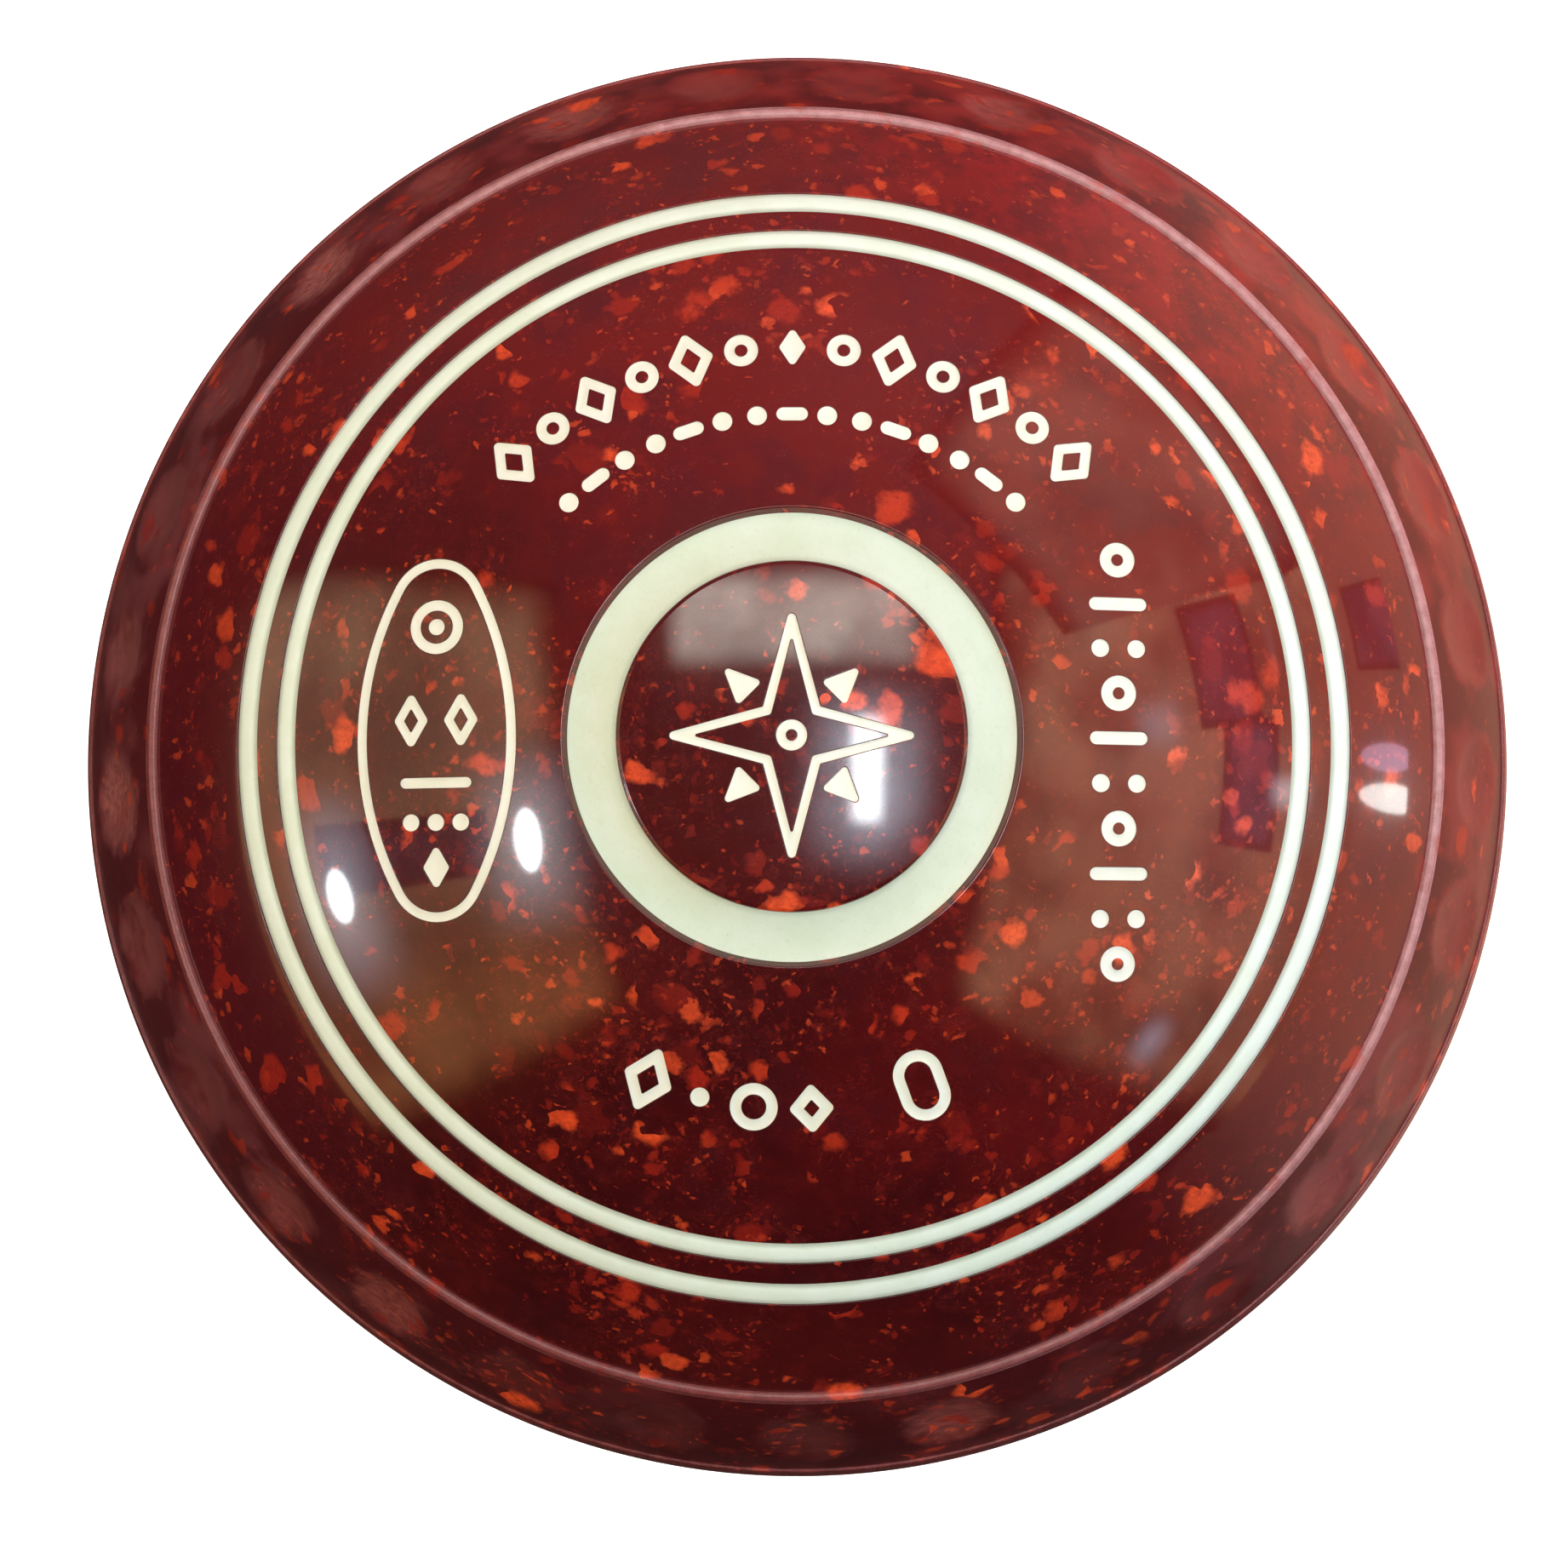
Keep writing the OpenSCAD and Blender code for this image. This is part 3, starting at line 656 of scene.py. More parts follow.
def inlay(name, dome, glyphs, seed):
    """Cream filler standing in the engraved shapes, each a closed solid with a slightly sunken top."""
    rng = np.random.default_rng(seed)
    mesh = Mesh()
    flip = dome.sgn < 0
    for g in glyphs:
        sink = 0.062 + 0.03 * rng.random()
        sag = 0.045 + 0.04 * rng.random()
        ol = g.outer + 0.012 * loop_normals(g.outer)
        rows = []
        if g.inner is not None:
            il = g.inner - 0.012 * loop_normals(g.inner)
            us = np.linspace(0, 1, 9)
            for u in us:
                rows.append((ol * (1 - u) + il * u, sink + sag * (1 - (2 * u - 1) ** 2)))
        else:
            cen = g.outer.mean(0)
            for u in np.linspace(0, 0.86, 7):
                rows.append((ol * (1 - u) + cen * u, sink + sag * (1 - (1 - u) ** 2)))
        ids = []
        for i, (p, d) in enumerate(rows):
            w = 0.004 * rng.standard_normal(1)
            ids.append(mesh.verts(dome.at(p, d + (w if 0 < i < len(rows) - 1 else 0)), dome.normal(p)))
        low_o = mesh.verts(dome.at(ol, ENG - 0.005), dome.normal(ol))
        quads = []
        for a, b in zip(ids[:-1], ids[1:]):
            quads.append(np.stack([a, np.roll(a, -1), np.roll(b, -1), b], 1))
        quads.append(np.stack([low_o, np.roll(low_o, -1), np.roll(ids[0], -1), ids[0]], 1))
        if g.inner is not None:
            low_i = mesh.verts(dome.at(il, ENG - 0.005), dome.normal(il))
            quads.append(np.stack([ids[-1], np.roll(ids[-1], -1), np.roll(low_i, -1), low_i], 1))
            quads.append(np.stack([low_i, np.roll(low_i, -1), np.roll(low_o, -1), low_o], 1))
        for q in quads:
            mesh.face(q[:, ::-1] if flip else q, 0)
        if g.inner is None:
            top = mesh.verts(dome.at(cen[None], sink + sag), dome.normal(cen[None]))
            a = ids[-1]
            f = np.stack([a, np.roll(a, -1), np.repeat(top, len(a))], 1)
            mesh.face(f[:, ::-1] if flip else f, 0)
            bot = mesh.verts(dome.at(cen[None], ENG - 0.005), -dome.normal(cen[None]))
            f = np.stack([np.roll(low_o, -1), low_o, np.repeat(bot, len(a))], 1)
            mesh.face(f[:, ::-1] if flip else f, 0)
    # normals of the tops from their own slope
    V = np.concatenate(mesh.v)
    acc = np.zeros_like(V)
    for f in mesh.f:
        a = V[f[:, 1]] - V[f[:, 0]]
        b = V[f[:, 2]] - V[f[:, 0]]
        nn = np.cross(a, b)
        up = nn[:, 2] * dome.sgn > 0.35 * np.linalg.norm(nn, axis=1)
        for k in range(f.shape[1]):
            np.add.at(acc, f[up][:, k], nn[up])
    Nn = np.concatenate(mesh.n)
    has = np.linalg.norm(acc, axis=1) > 1e-12
    Nn[has] = acc[has]
    mesh.n = [Nn]
    return mesh.build(name, weld=False)


def ring_solid(name, prof, zoff=EQ, top_count=None):
    """A closed turned ring from a closed (r, z) outline, counter-clockwise in the r-z plane; normals by outline."""
    pts = np.array([p[:2] for p in prof], float)
    nrm = np.array([p[2:4] for p in prof], float)
    mesh = Mesh()
    ids = []
    for (r, z), (nr, nz) in zip(pts, nrm):
        ids.append(mesh.verts(np.stack([r * CA, r * SA, np.full(N, z + zoff)], 1),
                              np.stack([nr * CA, nr * SA, np.full(N, nz)], 1)))
    for i in range(len(ids)):
        a, b = ids[i], ids[(i + 1) % len(ids)]
        mesh.face(np.stack([a, b, np.roll(b, -1), np.roll(a, -1)], 1), 0)
    return mesh.build(name, weld=False)


def line_fill(c, rr, r1, r2, sgn=1, over=0.012):
    """Outline of the filler in a turned line: outwards along the top, then back under it."""
    a1, a2 = math.asin((r1 - over) / rr), math.asin((r2 + over) / rr)
    out = []
    k = 13
    for i in range(k):
        u = i / (k - 1)
        a = a1 + (a2 - a1) * u
        crown = 0.10
        d = 0.045 + crown * (2 * u - 1) ** 2
        slope = crown * 4 * (1 - 2 * u) / (r2 - r1)      # d(height)/d(width)
        q = rr - d
        n = np.array([math.sin(a), math.cos(a)])
        t = np.array([math.cos(a), -math.sin(a)])
        nn = n - slope * t
        out.append((q * n[0], c + q * n[1], nn[0], nn[1]))
    for a in (a2, a1):
        q = rr - ENG + 0.005
        out.append((q * math.sin(a), c + q * math.cos(a), 0, -1))
    if sgn < 0:
        out = [(r, -z, nr, -nz) for r, z, nr, nz in out][::-1]
    return out


def above(p1, p2, q):
    d = np.array(p2) - np.array(p1)
    l = np.linalg.norm(d)
    return (np.array(p1) + np.array(p2)) / 2 + math.sqrt(q * q - l * l / 4) * np.array([-d[1], d[0]]) / l


def disc_fill():
    p1, p2 = (DISC_IN + 0.0, ZI - 0.38), (DISC_OUT - 0.38, ZO - 0.5)
    c = above(p1, p2, 8.0)
    a1, a2 = math.atan2(p1[1] - c[1], p1[0] - c[0]), math.atan2(p2[1] - c[1], p2[0] - c[0])
    out = []
    for i in range(25):
        a = a1 + (a2 - a1) * i / 24
        out.append((c[0] + 8 * math.cos(a), c[1] + 8 * math.sin(a), -math.cos(a), -math.sin(a)))
    out.append((DISC_OUT - 0.78, ZO - DISC_D + 0.22, 1, -1))
    out.append((DISC_IN + 0.25, ZI - DISC_D + 0.02, -1, -1))
    out.append((DISC_IN - 0.012, ZI - 0.9, -1, 0))
    return out


def bias_disc_fill():
    p1, p2 = (DISC_IN - 0.012, zd - 1.1), (DISC_OUT - 0.33, zd - 0.9)
    c = above(p1, p2, 8.0)
    a1, a2 = math.atan2(p1[1] - c[1], p1[0] - c[0]), math.atan2(p2[1] - c[1], p2[0] - c[0])
    out = []
    for i in range(21):
        a = a1 + (a2 - a1) * i / 20
        out.append((c[0] + 8 * math.cos(a), c[1] + 8 * math.sin(a), -math.cos(a), -math.sin(a)))
    out.append((DISC_OUT - 0.48, zd - 2.58, 1, -1))
    out.append((DISC_IN - 0.012, zd - 2.58, -1, -1))
    return [(r, -z, nr, -nz) for r, z, nr, nz in out][::-1]


# ------------------------------------------------------------------ materials
class Tree:
    def __init__(self, name):
        self.mat = bpy.data.materials.new(name)
        self.mat.use_nodes = True
        self.t = self.mat.node_tree
        self.t.nodes.clear()
        self.out = self.node("ShaderNodeOutputMaterial")

    def node(self, kind, ins=None, **props):
        n = self.t.nodes.new(kind)
        for k, v in props.items():
            setattr(n, k, v)
        for k, v in (ins or {}).items():
            self.put(n.inputs[k], v)
        return n

    def put(self, sock, v):
        if isinstance(v, bpy.types.NodeSocket):
            self.t.links.new(v, sock)
        elif isinstance(v, (tuple, list)) and len(v) == 3 and sock.type == "RGBA":
            sock.default_value = (*v, 1)
        else:
            sock.default_value = v

    def math(self, op, a, b=0.0, c=None, clamp=False):
        n = self.node("ShaderNodeMath", operation=op, use_clamp=clamp)
        self.put(n.inputs[0], a)
        self.put(n.inputs[1], b)
        if c is not None:
            self.put(n.inputs[2], c)
        return n.outputs[0]

    def vmath(self, op, a, b=None, scale=None):
        n = self.node("ShaderNodeVectorMath", operation=op)
        self.put(n.inputs[0], a)
        if b is not None:
            self.put(n.inputs[1], b)
        if scale is not None:
            self.put(n.inputs["Scale"], scale)
        return n.outputs[0]

    def mix(self, f, a, b):
        n = self.node("ShaderNodeMix", data_type="RGBA")
        self.put(n.inputs[0], f)
        self.put(n.inputs[6], a)
        self.put(n.inputs[7], b)
        return n.outputs[2]

    def noise(self, vec, scale, detail=2.0, rough=0.5, distortion=0.0, color=False):
        n = self.node("ShaderNodeTexNoise", {"Vector": vec, "Scale": scale, "Detail": detail,
                                             "Roughness": rough, "Distortion": distortion})
        return n.outputs["Color"] if color else n.outputs["Fac"]

    def span(self, v, lo, hi, a=0.0, b=1.0, smooth=True):
        n = self.node("ShaderNodeMapRange", {"Value": v, "From Min": lo, "From Max": hi, "To Min": a, "To Max": b})
        n.interpolation_type = "SMOOTHSTEP" if smooth else "LINEAR"
        n.clamp = True
        return n.outputs[0]

    def rotate(self, vec, angles, scale=(1, 1, 1), loc=(0, 0, 0)):
        n = self.node("ShaderNodeMapping", {"Vector": vec, "Rotation": angles, "Scale": scale, "Location": loc})
        return n.outputs[0]

    def coords(self):
        tc = self.node("ShaderNodeTexCoord")
        return self.vmath("SCALE", tc.outputs["Object"], scale=1000.0)


def chips(t, vec, cell, metric, keep, r_lo, r_hi, edge, angles, scale=(1, 1, 1), loc=(0, 0, 0), density=None):
    """One layer of chips. Returns (mask, random value, second random value)."""
    v = t.rotate(vec, angles, scale, loc)
    vo = t.node("ShaderNodeTexVoronoi", {"Vector": v, "Scale": 1.0 / cell, "Randomness": 0.9},
                feature="F1", distance=metric)
    sep = t.node("ShaderNodeSeparateColor", {"Color": vo.outputs["Color"]})
    rnd, rnd2, rnd3 = sep.outputs[0], sep.outputs[1], sep.outputs[2]
    k = keep if density is None else t.math("SUBTRACT", keep, density)
    present = t.math("GREATER_THAN", rnd, k)
    rad = t.span(rnd2, 0.0, 1.0, r_lo / cell, r_hi / cell, smooth=False)
    m = t.math("SUBTRACT", rad, vo.outputs["Distance"])
    m = t.span(m, -edge / cell, edge / cell)
    return t.math("MULTIPLY", m, present), rnd3, rnd2


def resin(name, kind):
    """Speckled phenolic resin. kind: 'face' polished, 'band' satin, 'lip' half polished, 'run' polished by play."""
    t = Tree(name)
    p = t.coords()
    w1 = t.vmath("SCALE", t.vmath("SUBTRACT", t.noise(p, 0.33, 3, 0.6, color=True), (0.5, 0.5, 0.5)), scale=2.6)
    w2 = t.vmath("SCALE", t.vmath("SUBTRACT", t.noise(p, 1.7, 4, 0.65, color=True), (0.5, 0.5, 0.5)), scale=0.85)
    pa = t.vmath("ADD", p, w1)
    pw = t.vmath("ADD", pa, w2)
    # base: dark maroon clouds
    c1 = t.noise(p, 0.055, 4, 0.6)
    c2 = t.noise(t.rotate(p, (0, 0, 0), loc=(37, 11, 5)), 0.16, 5, 0.62)
    base = t.mix(t.span(c1, 0.40, 0.62), (0.036, 0.0013, 0.0025), (0.057, 0.0020, 0.0030))
    base = t.mix(t.span(c2, 0.50, 0.72, 0, 0.75), base, (0.046, 0.0038, 0.0066))
    # painted light: the resin is painted from a dark red to a livelier, brighter red towards the upper right, as if lit
    # from there
    axis = t.node("ShaderNodeVectorMath", {0: p, 1: (0.58, 0.815, 0.0)}, operation="DOT_PRODUCT").outputs["Value"]
    painted_light_lively = t.span(t.math("ADD", axis, t.math("MULTIPLY", t.math("SUBTRACT", c1, 0.5), 50.0)), -34.0, 40.0)
    base = t.mix(painted_light_lively, base, t.mix(t.span(c2, 0.42, 0.66), (0.150, 0.0050, 0.0050), (0.105, 0.0050, 0.0085)))
    base = t.mix(t.span(t.noise(p, 0.5, 5, 0.7), 0.46, 0.75, 0, 0.45), base, (0.115, 0.0050, 0.0040))
    # painted highlight: a still brighter red is painted on the upper right, where the light falls; the chips are denser
    # there too
    painted_highlight_hot = t.span(t.math("ADD", axis, t.math("MULTIPLY", t.math("SUBTRACT", c2, 0.5), 24.0)), 30.0, 58.0, 0.0, 0.85)
    c3 = t.noise(t.rotate(p, (0.2, 0.5, 0.3), loc=(9, 27, 15)), 0.26, 5, 0.68)
    base = t.mix(painted_highlight_hot, base, t.mix(t.span(c3, 0.40, 0.60), (0.150, 0.0055, 0.0085), (0.365, 0.0100, 0.0100)))
    # and to a purple one on the left, where the chips lie deeper
    place_x = t.node("ShaderNodeSeparateXYZ", {"Vector": p})
    left = t.span(t.math("ADD", place_x.outputs[0], t.math("MULTIPLY", t.math("SUBTRACT", c1, 0.5), 30.0)), -26.0, -48.0)
    base = t.mix(t.math("MULTIPLY", left, 0.7), base, (0.080, 0.0036, 0.0085))
    # painted shade: the face is painted darker round the middle, a little below the centre
    if kind == "face":
        cy = t.math("ADD", place_x.outputs[1], 5.0)
        mid_r = t.math("SQRT", t.math("ADD", t.math("MULTIPLY", place_x.outputs[0], place_x.outputs[0]), t.math("MULTIPLY", cy, cy)))
        base = t.mix(t.span(mid_r, 8.0, 26.0, 0.55, 0.0), base, (0.034, 0.0013, 0.0025))
    # patches where the speckle is dense, in two sizes
    patch = t.noise(t.rotate(p, (0.4, 0.2, 0.1), loc=(5, 19, 3)), 0.075, 3, 0.55)
    patch2 = t.noise(t.rotate(p, (0.1, 0.7, 0.3), loc=(31, 9, 13)), 0.24, 2, 0.5)
    both = t.math("ADD", t.math("MULTIPLY", patch, 0.6), t.math("MULTIPLY", patch2, 0.4))
    dens = t.math("ADD", t.span(both, 0.38, 0.62, -0.22, 0.26), t.math("MULTIPLY", painted_highlight_hot, 0.13))
    # dust and haze
    dust = t.noise(pa, 3.1, 5, 0.80)
    dmask = t.math("MULTIPLY", t.span(dust, 0.54, 0.68), t.span(both, 0.36, 0.62, 0.10, 0.85))
    col = t.mix(dmask, base, (0.17, 0.015, 0.009))
    haze = t.math("MULTIPLY", t.span(t.noise(pa, 0.75, 6, 0.72), 0.48, 0.70), t.span(both, 0.40, 0.62, 0.15, 0.70))
    col = t.mix(haze, col, (0.115, 0.0095, 0.0085))
    pl = t.vmath("ADD", pa, t.vmath("SCALE", w2, scale=0.40))
    layers = [
        # cell, metric, keep, r_lo, r_hi, edge, angles, scale, loc, opacity, density, coordinates
        (0.50, "EUCLIDEAN", 0.78, 0.05, 0.22, 0.09, (0.9, 0.2, 1.7), (1, 1, 1), (41, 3, 17), 0.50, dens, pw),
        (0.95, "EUCLIDEAN", 0.80, 0.12, 0.44, 0.15, (0.3, 0.9, 0.2), (1, 1.15, 0.9), (3, 1, 7), 0.50, dens, pw),
        (1.7, "EUCLIDEAN", 0.84, 0.28, 0.80, 0.21, (0.8, 0.1, 1.2), (1, 0.80, 1.1), (13, 5, 2), 0.66, dens, pw),
        (2.6, "EUCLIDEAN", 0.83, 0.40, 1.00, 0.27, (1.3, 0.6, 0.5), (0.85, 1.1, 1.0), (1, 23, 9), 0.78, dens, pl),
        (3.7, "EUCLIDEAN", 0.82, 0.62, 1.34, 0.33, (0.2, 1.1, 0.9), (1.15, 0.88, 1.0), (7, 2, 29), 0.86, dens, pl),
        (5.6, "EUCLIDEAN", 0.87, 1.0, 1.95, 0.40, (0.5, 0.4, 2.1), (1.0, 1.25, 0.85), (17, 31, 4), 0.92, dens, pl),
    ]
    allmask = dmask
    mottle = t.noise(p, 1.3, 4, 0.7)
    ragged = t.noise(t.rotate(p, (0.3, 0.1, 0.9), loc=(2, 8, 6)), 2.6, 4, 0.7)
    for i, (cell, metric, keep, lo, hi, edge, ang, sc, loc, op, dn, where) in enumerate(layers):
        m, r1, r2 = chips(t, where, cell, metric, keep, lo, hi, edge, ang, sc, loc, dn)
        # few chips are bright, most are dull
        bright = t.math("POWER", r1, 1.6)
        tone = t.mix(t.span(bright, 0.0, 0.45, smooth=False), (0.19, 0.0085, 0.0060), (0.37, 0.018, 0.007))
        tone = t.mix(t.span(bright, 0.42, 0.90), tone, (0.84, 0.085, 0.020))
        tone = t.mix(t.span(mottle, 0.38, 0.68, 0, 0.45), tone, (0.30, 0.016, 0.008))
        # chips lie at different depths under the surface: deeper ones are duller and softer
        depth = t.span(bright, 0.0, 0.40, 0.36, 1.0)
        if i >= 2:
            m = t.math("MULTIPLY", m, t.span(ragged, 0.32, 0.50, 0.55, 1.0))
        f = t.math("MULTIPLY", t.math("MULTIPLY", m, depth), t.span(left, 0.0, 1.0, op, op * 0.66, smooth=False))
        col = t.mix(f, col, tone)
        if i >= 2:
            allmask = t.math("MAXIMUM", allmask, t.math("MULTIPLY", m, depth))
    hair = t.noise(p, 12.0, 3, 0.6)
    frost_and_sheen = 0.0
    # side runs towards the upper right; the band's painted sheen colour and the lip's painted highlight follow it
    side = t.node("ShaderNodeVectorMath", {0: p, 1: (0.72, 0.69, 0.0)}, operation="DOT_PRODUCT").outputs["Value"]
    if kind == "band":
        # the band: a worn surface, with painted shade in dark blotches between the dimples, a painted sheen and a
        # painted reflection in each dimple; chips show through
        x = t.node("ShaderNodeSeparateXYZ", {"Vector": t.vmath("SUBTRACT", p, (0.0, 0.0, EQ))})
        rad = t.math("SQRT", t.math("ADD", t.math("MULTIPLY", x.outputs[0], x.outputs[0]),
                                    t.math("MULTIPLY", x.outputs[1], x.outputs[1])))
        bz, br, mid = BAND_ROWS[1]
        step = math.radians(360 / DIMPLES)
        az0 = t.math("SUBTRACT", t.math("ARCTAN2", x.outputs[1], x.outputs[0]), math.radians(DIMPLE_TURN) - step / 2)
        which = t.math("FLOORED_MODULO", t.math("FLOOR", t.math("DIVIDE", az0, step)), float(DIMPLES))
        which = t.math("ADD", which, t.math("MULTIPLY", t.math("GREATER_THAN", x.outputs[2], 0.0), 40.0))
        lot = t.node("ShaderNodeTexWhiteNoise", {"W": which}, noise_dimensions="1D").outputs["Value"]
        az = t.math("SUBTRACT", t.math("FLOORED_MODULO", az0, step), step / 2)
        dx = t.math("DIVIDE", t.math("MULTIPLY", az, rad), DIMPLE_W / 2)
        lat = t.math("ARCTAN2", t.math("SUBTRACT", t.math("ABSOLUTE", x.outputs[2]), bz), rad)
        dy = t.math("MULTIPLY", t.math("SUBTRACT", lat, math.radians(mid)), br / (DIMPLE_W / 2 + DIMPLE_STRETCH / 2))
        q2 = t.math("ADD", t.math("MULTIPLY", dx, dx), t.math("MULTIPLY", dy, dy))
        q2 = t.math("ADD", q2, t.math("MULTIPLY", t.math("SUBTRACT", t.noise(p, 0.55, 5, 0.65), 0.5), 2.0))
        streak = t.noise(t.rotate(p, (0.5, 0.2, 0.4), (0.6, 2.0, 2.0)), 1.1, 5, 0.72)
        sheen_breakup = t.noise(p, 0.17, 4, 0.6)
        # the dimples are frosted, rougher and painted paler: a painted reflection in each dimple
        frost_and_sheen = t.math("MULTIPLY", t.span(q2, 1.25, 0.25), t.span(streak, 0.32, 0.64, 0.30, 1.0))
        frost_and_sheen = t.math("MULTIPLY", frost_and_sheen, t.span(lot, 0.15, 0.85, 0.18, 1.0))
        # painted sheen: a pale sheen is painted on the band, strong on the sides and top, weak at the bottom, broken by
        # the painted shade between the dimples
        painted_sheen_b = t.math("MULTIPLY", t.span(sheen_breakup, 0.38, 0.56, 0.22, 0.92), t.span(place_x.outputs[1], -52.0, -22.0, 0.34, 1.0))
        # painted shade: dark blotches between the dimples
        painted_shade_blot = t.math("MULTIPLY", t.span(q2, 1.05, 1.65), t.span(t.noise(p, 0.10, 2, 0.5), 0.38, 0.54))
        painted_sheen_b = t.math("MULTIPLY", painted_sheen_b, t.math("SUBTRACT", 1.0, t.math("MULTIPLY", painted_shade_blot, 0.88)))
        under = t.math("SUBTRACT", 1.0, t.math("MULTIPLY", allmask, 0.82))
        col = t.mix(t.math("MULTIPLY", painted_shade_blot, 0.62), col, (0.055, 0.004, 0.006))
        # the painted sheen is pinker to the lower left and redder to the upper right
        painted_sheen_colour = t.mix(t.span(side, -20.0, 44.0), (0.205, 0.058, 0.064), (0.310, 0.032, 0.029))
        col = t.mix(t.math("MULTIPLY", t.math("MULTIPLY", painted_sheen_b, under), 0.54), col, painted_sheen_colour)
        # painted highlight: the dimples are painted paler towards the top
        upper = t.math("SUBTRACT", place_x.outputs[1], t.math("MULTIPLY", place_x.outputs[0], 0.8))
        painted_dimple_highlight_colour = t.mix(t.span(upper, 15.0, 45.0), (0.375, 0.082, 0.066), (0.43, 0.135, 0.115))
        col = t.mix(t.math("MULTIPLY", t.math("MULTIPLY", frost_and_sheen, under), 0.62), col, painted_dimple_highlight_colour)
    if kind == "lip":
        # painted highlight: the lip is painted pale pink to the upper right, where the light catches it, and dark red
        # on the other side
        painted_lip_highlight = t.span(side, -46.0, 44.0, 0.18, 1.0)
        tone_l = t.mix(painted_lip_highlight, (0.25, 0.032, 0.032), (0.56, 0.265, 0.275))
        amount = t.math("MULTIPLY", t.span(t.noise(p, 1.1, 4, 0.6), 0.3, 0.7, 0.62, 0.95), t.span(painted_lip_highlight, 0.18, 1.0, 0.72, 1.0))
        amount = t.math("MULTIPLY", amount, t.math("SUBTRACT", 1.0, t.math("MULTIPLY", allmask, 0.45)))
        col = t.mix(amount, col, tone_l)
    if kind == "run":
        col = t.mix(t.span(t.noise(p, 0.8, 4, 0.6), 0.3, 0.7, 0.25, 0.60), col, (0.30, 0.060, 0.060))
    bs = t.node("ShaderNodeBsdfPrincipled", {"Base Color": col})
    grain = t.noise(p, 9.0, 4, 0.6)
    big = t.noise(p, 0.6, 3, 0.5)
    if kind == "face":
        rough = t.math("ADD", t.span(grain, 0.3, 0.7, 0.20, 0.26), t.span(big, 0.3, 0.7, -0.02, 0.03))
        bs.inputs["Coat Weight"].default_value = 1.0
        bs.inputs["Coat Roughness"].default_value = 0.055
        bs.inputs["Coat IOR"].default_value = 1.6
        bs.inputs["Specular IOR Level"].default_value = 0.22
        bump_s, bump_d = 0.018, 0.02
    elif kind == "band":
        rough = t.math("ADD", t.span(grain, 0.3, 0.7, 0.27, 0.38), t.math("MULTIPLY", frost_and_sheen, 0.22))
        bs.inputs["Specular IOR Level"].default_value = 0.40
        bump_s, bump_d = 0.20, 0.05
    elif kind == "lip":
        rough = t.span(grain, 0.3, 0.7, 0.24, 0.40)
        bs.inputs["Specular IOR Level"].default_value = 0.6
        bump_s, bump_d = 0.08, 0.03
    else:
        rough = t.span(grain, 0.3, 0.7, 0.22, 0.36)
        bs.inputs["Specular IOR Level"].default_value = 0.45
        bump_s, bump_d = 0.06, 0.03
    t.put(bs.inputs["Roughness"], rough)
    h = t.math("ADD", t.math("MULTIPLY", grain, 0.6), t.math("MULTIPLY", hair, 0.4))
    if kind == "face":
        h = t.math("ADD", h, t.math("MULTIPLY", big, 1.6))
    bump = t.node("ShaderNodeBump", {"Strength": bump_s, "Distance": bump_d * 0.001, "Height": h})
    t.put(bs.inputs["Normal"], bump.outputs[0])
    t.t.links.new(bs.outputs[0], t.out.inputs[0])
    return t.mat


def cream(name, tint, gloss, edges=(), edge_shade=0.5):
    """Cream filler: slightly greenish ivory with faint marbling, pits and handling marks, with painted shade darkening
    it towards its edges.
    """
    t = Tree(name)
    p = t.coords()
    a = t.noise(p, 0.22, 4, 0.6)
    b = t.noise(p, 1.6, 5, 0.65)
    col = t.mix(t.span(a, 0.35, 0.65), tint, tuple(x * k for x, k in zip(tint, (0.94, 0.95, 0.90))))
    col = t.mix(t.span(b, 0.5, 0.8, 0, 0.35), col, tuple(x * k for x, k in zip(tint, (0.88, 0.87, 0.78))))
    pits = t.node("ShaderNodeTexVoronoi", {"Vector": p, "Scale": 0.9}, feature="F1")
    pit = t.span(pits.outputs["Distance"], 0.03, 0.075, 1.0, 0.0)
    some = t.math("GREATER_THAN", t.noise(p, 0.7, 1, 0.5), 0.60)
    pit = t.math("MULTIPLY", pit, some)
    col = t.mix(t.math("MULTIPLY", pit, 0.5), col, (0.42, 0.37, 0.27))
    if edges:
        x = t.node("ShaderNodeSeparateXYZ", {"Vector": p})
        rad = t.math("SQRT", t.math("ADD", t.math("MULTIPLY", x.outputs[0], x.outputs[0]),
                                    t.math("MULTIPLY", x.outputs[1], x.outputs[1])))
        near = 9.0
        for r_ in edges:
            near = t.math("MINIMUM", near, t.math("ABSOLUTE", t.math("SUBTRACT", rad, r_)))
        near = t.math("ADD", near, t.math("MULTIPLY", t.math("SUBTRACT", t.noise(p, 0.5, 3, 0.6), 0.5), 0.18))
        # painted shade: the cream is darkened towards the groove edges
        col = t.mix(t.span(near, 0.02, 0.50, edge_shade, 0.0), col, (0.34, 0.35, 0.27))
    bs = t.node("ShaderNodeBsdfPrincipled", {"Base Color": col})
    t.put(bs.inputs["Roughness"], t.span(t.noise(p, 3.0, 4, 0.6), 0.3, 0.7, gloss, gloss + 0.14))
    bs.inputs["Specular IOR Level"].default_value = 0.42
    bs.inputs["Subsurface Weight"].default_value = 0.0
    h = t.math("ADD", t.math("MULTIPLY", t.noise(p, 2.4, 5, 0.6), 1.0), t.math("MULTIPLY", pit, -0.8))
    bump = t.node("ShaderNodeBump", {"Strength": 0.25, "Distance": 0.00006, "Height": h})
    t.put(bs.inputs["Normal"], bump.outputs[0])
    t.t.links.new(bs.outputs[0], t.out.inputs[0])
    return t.mat


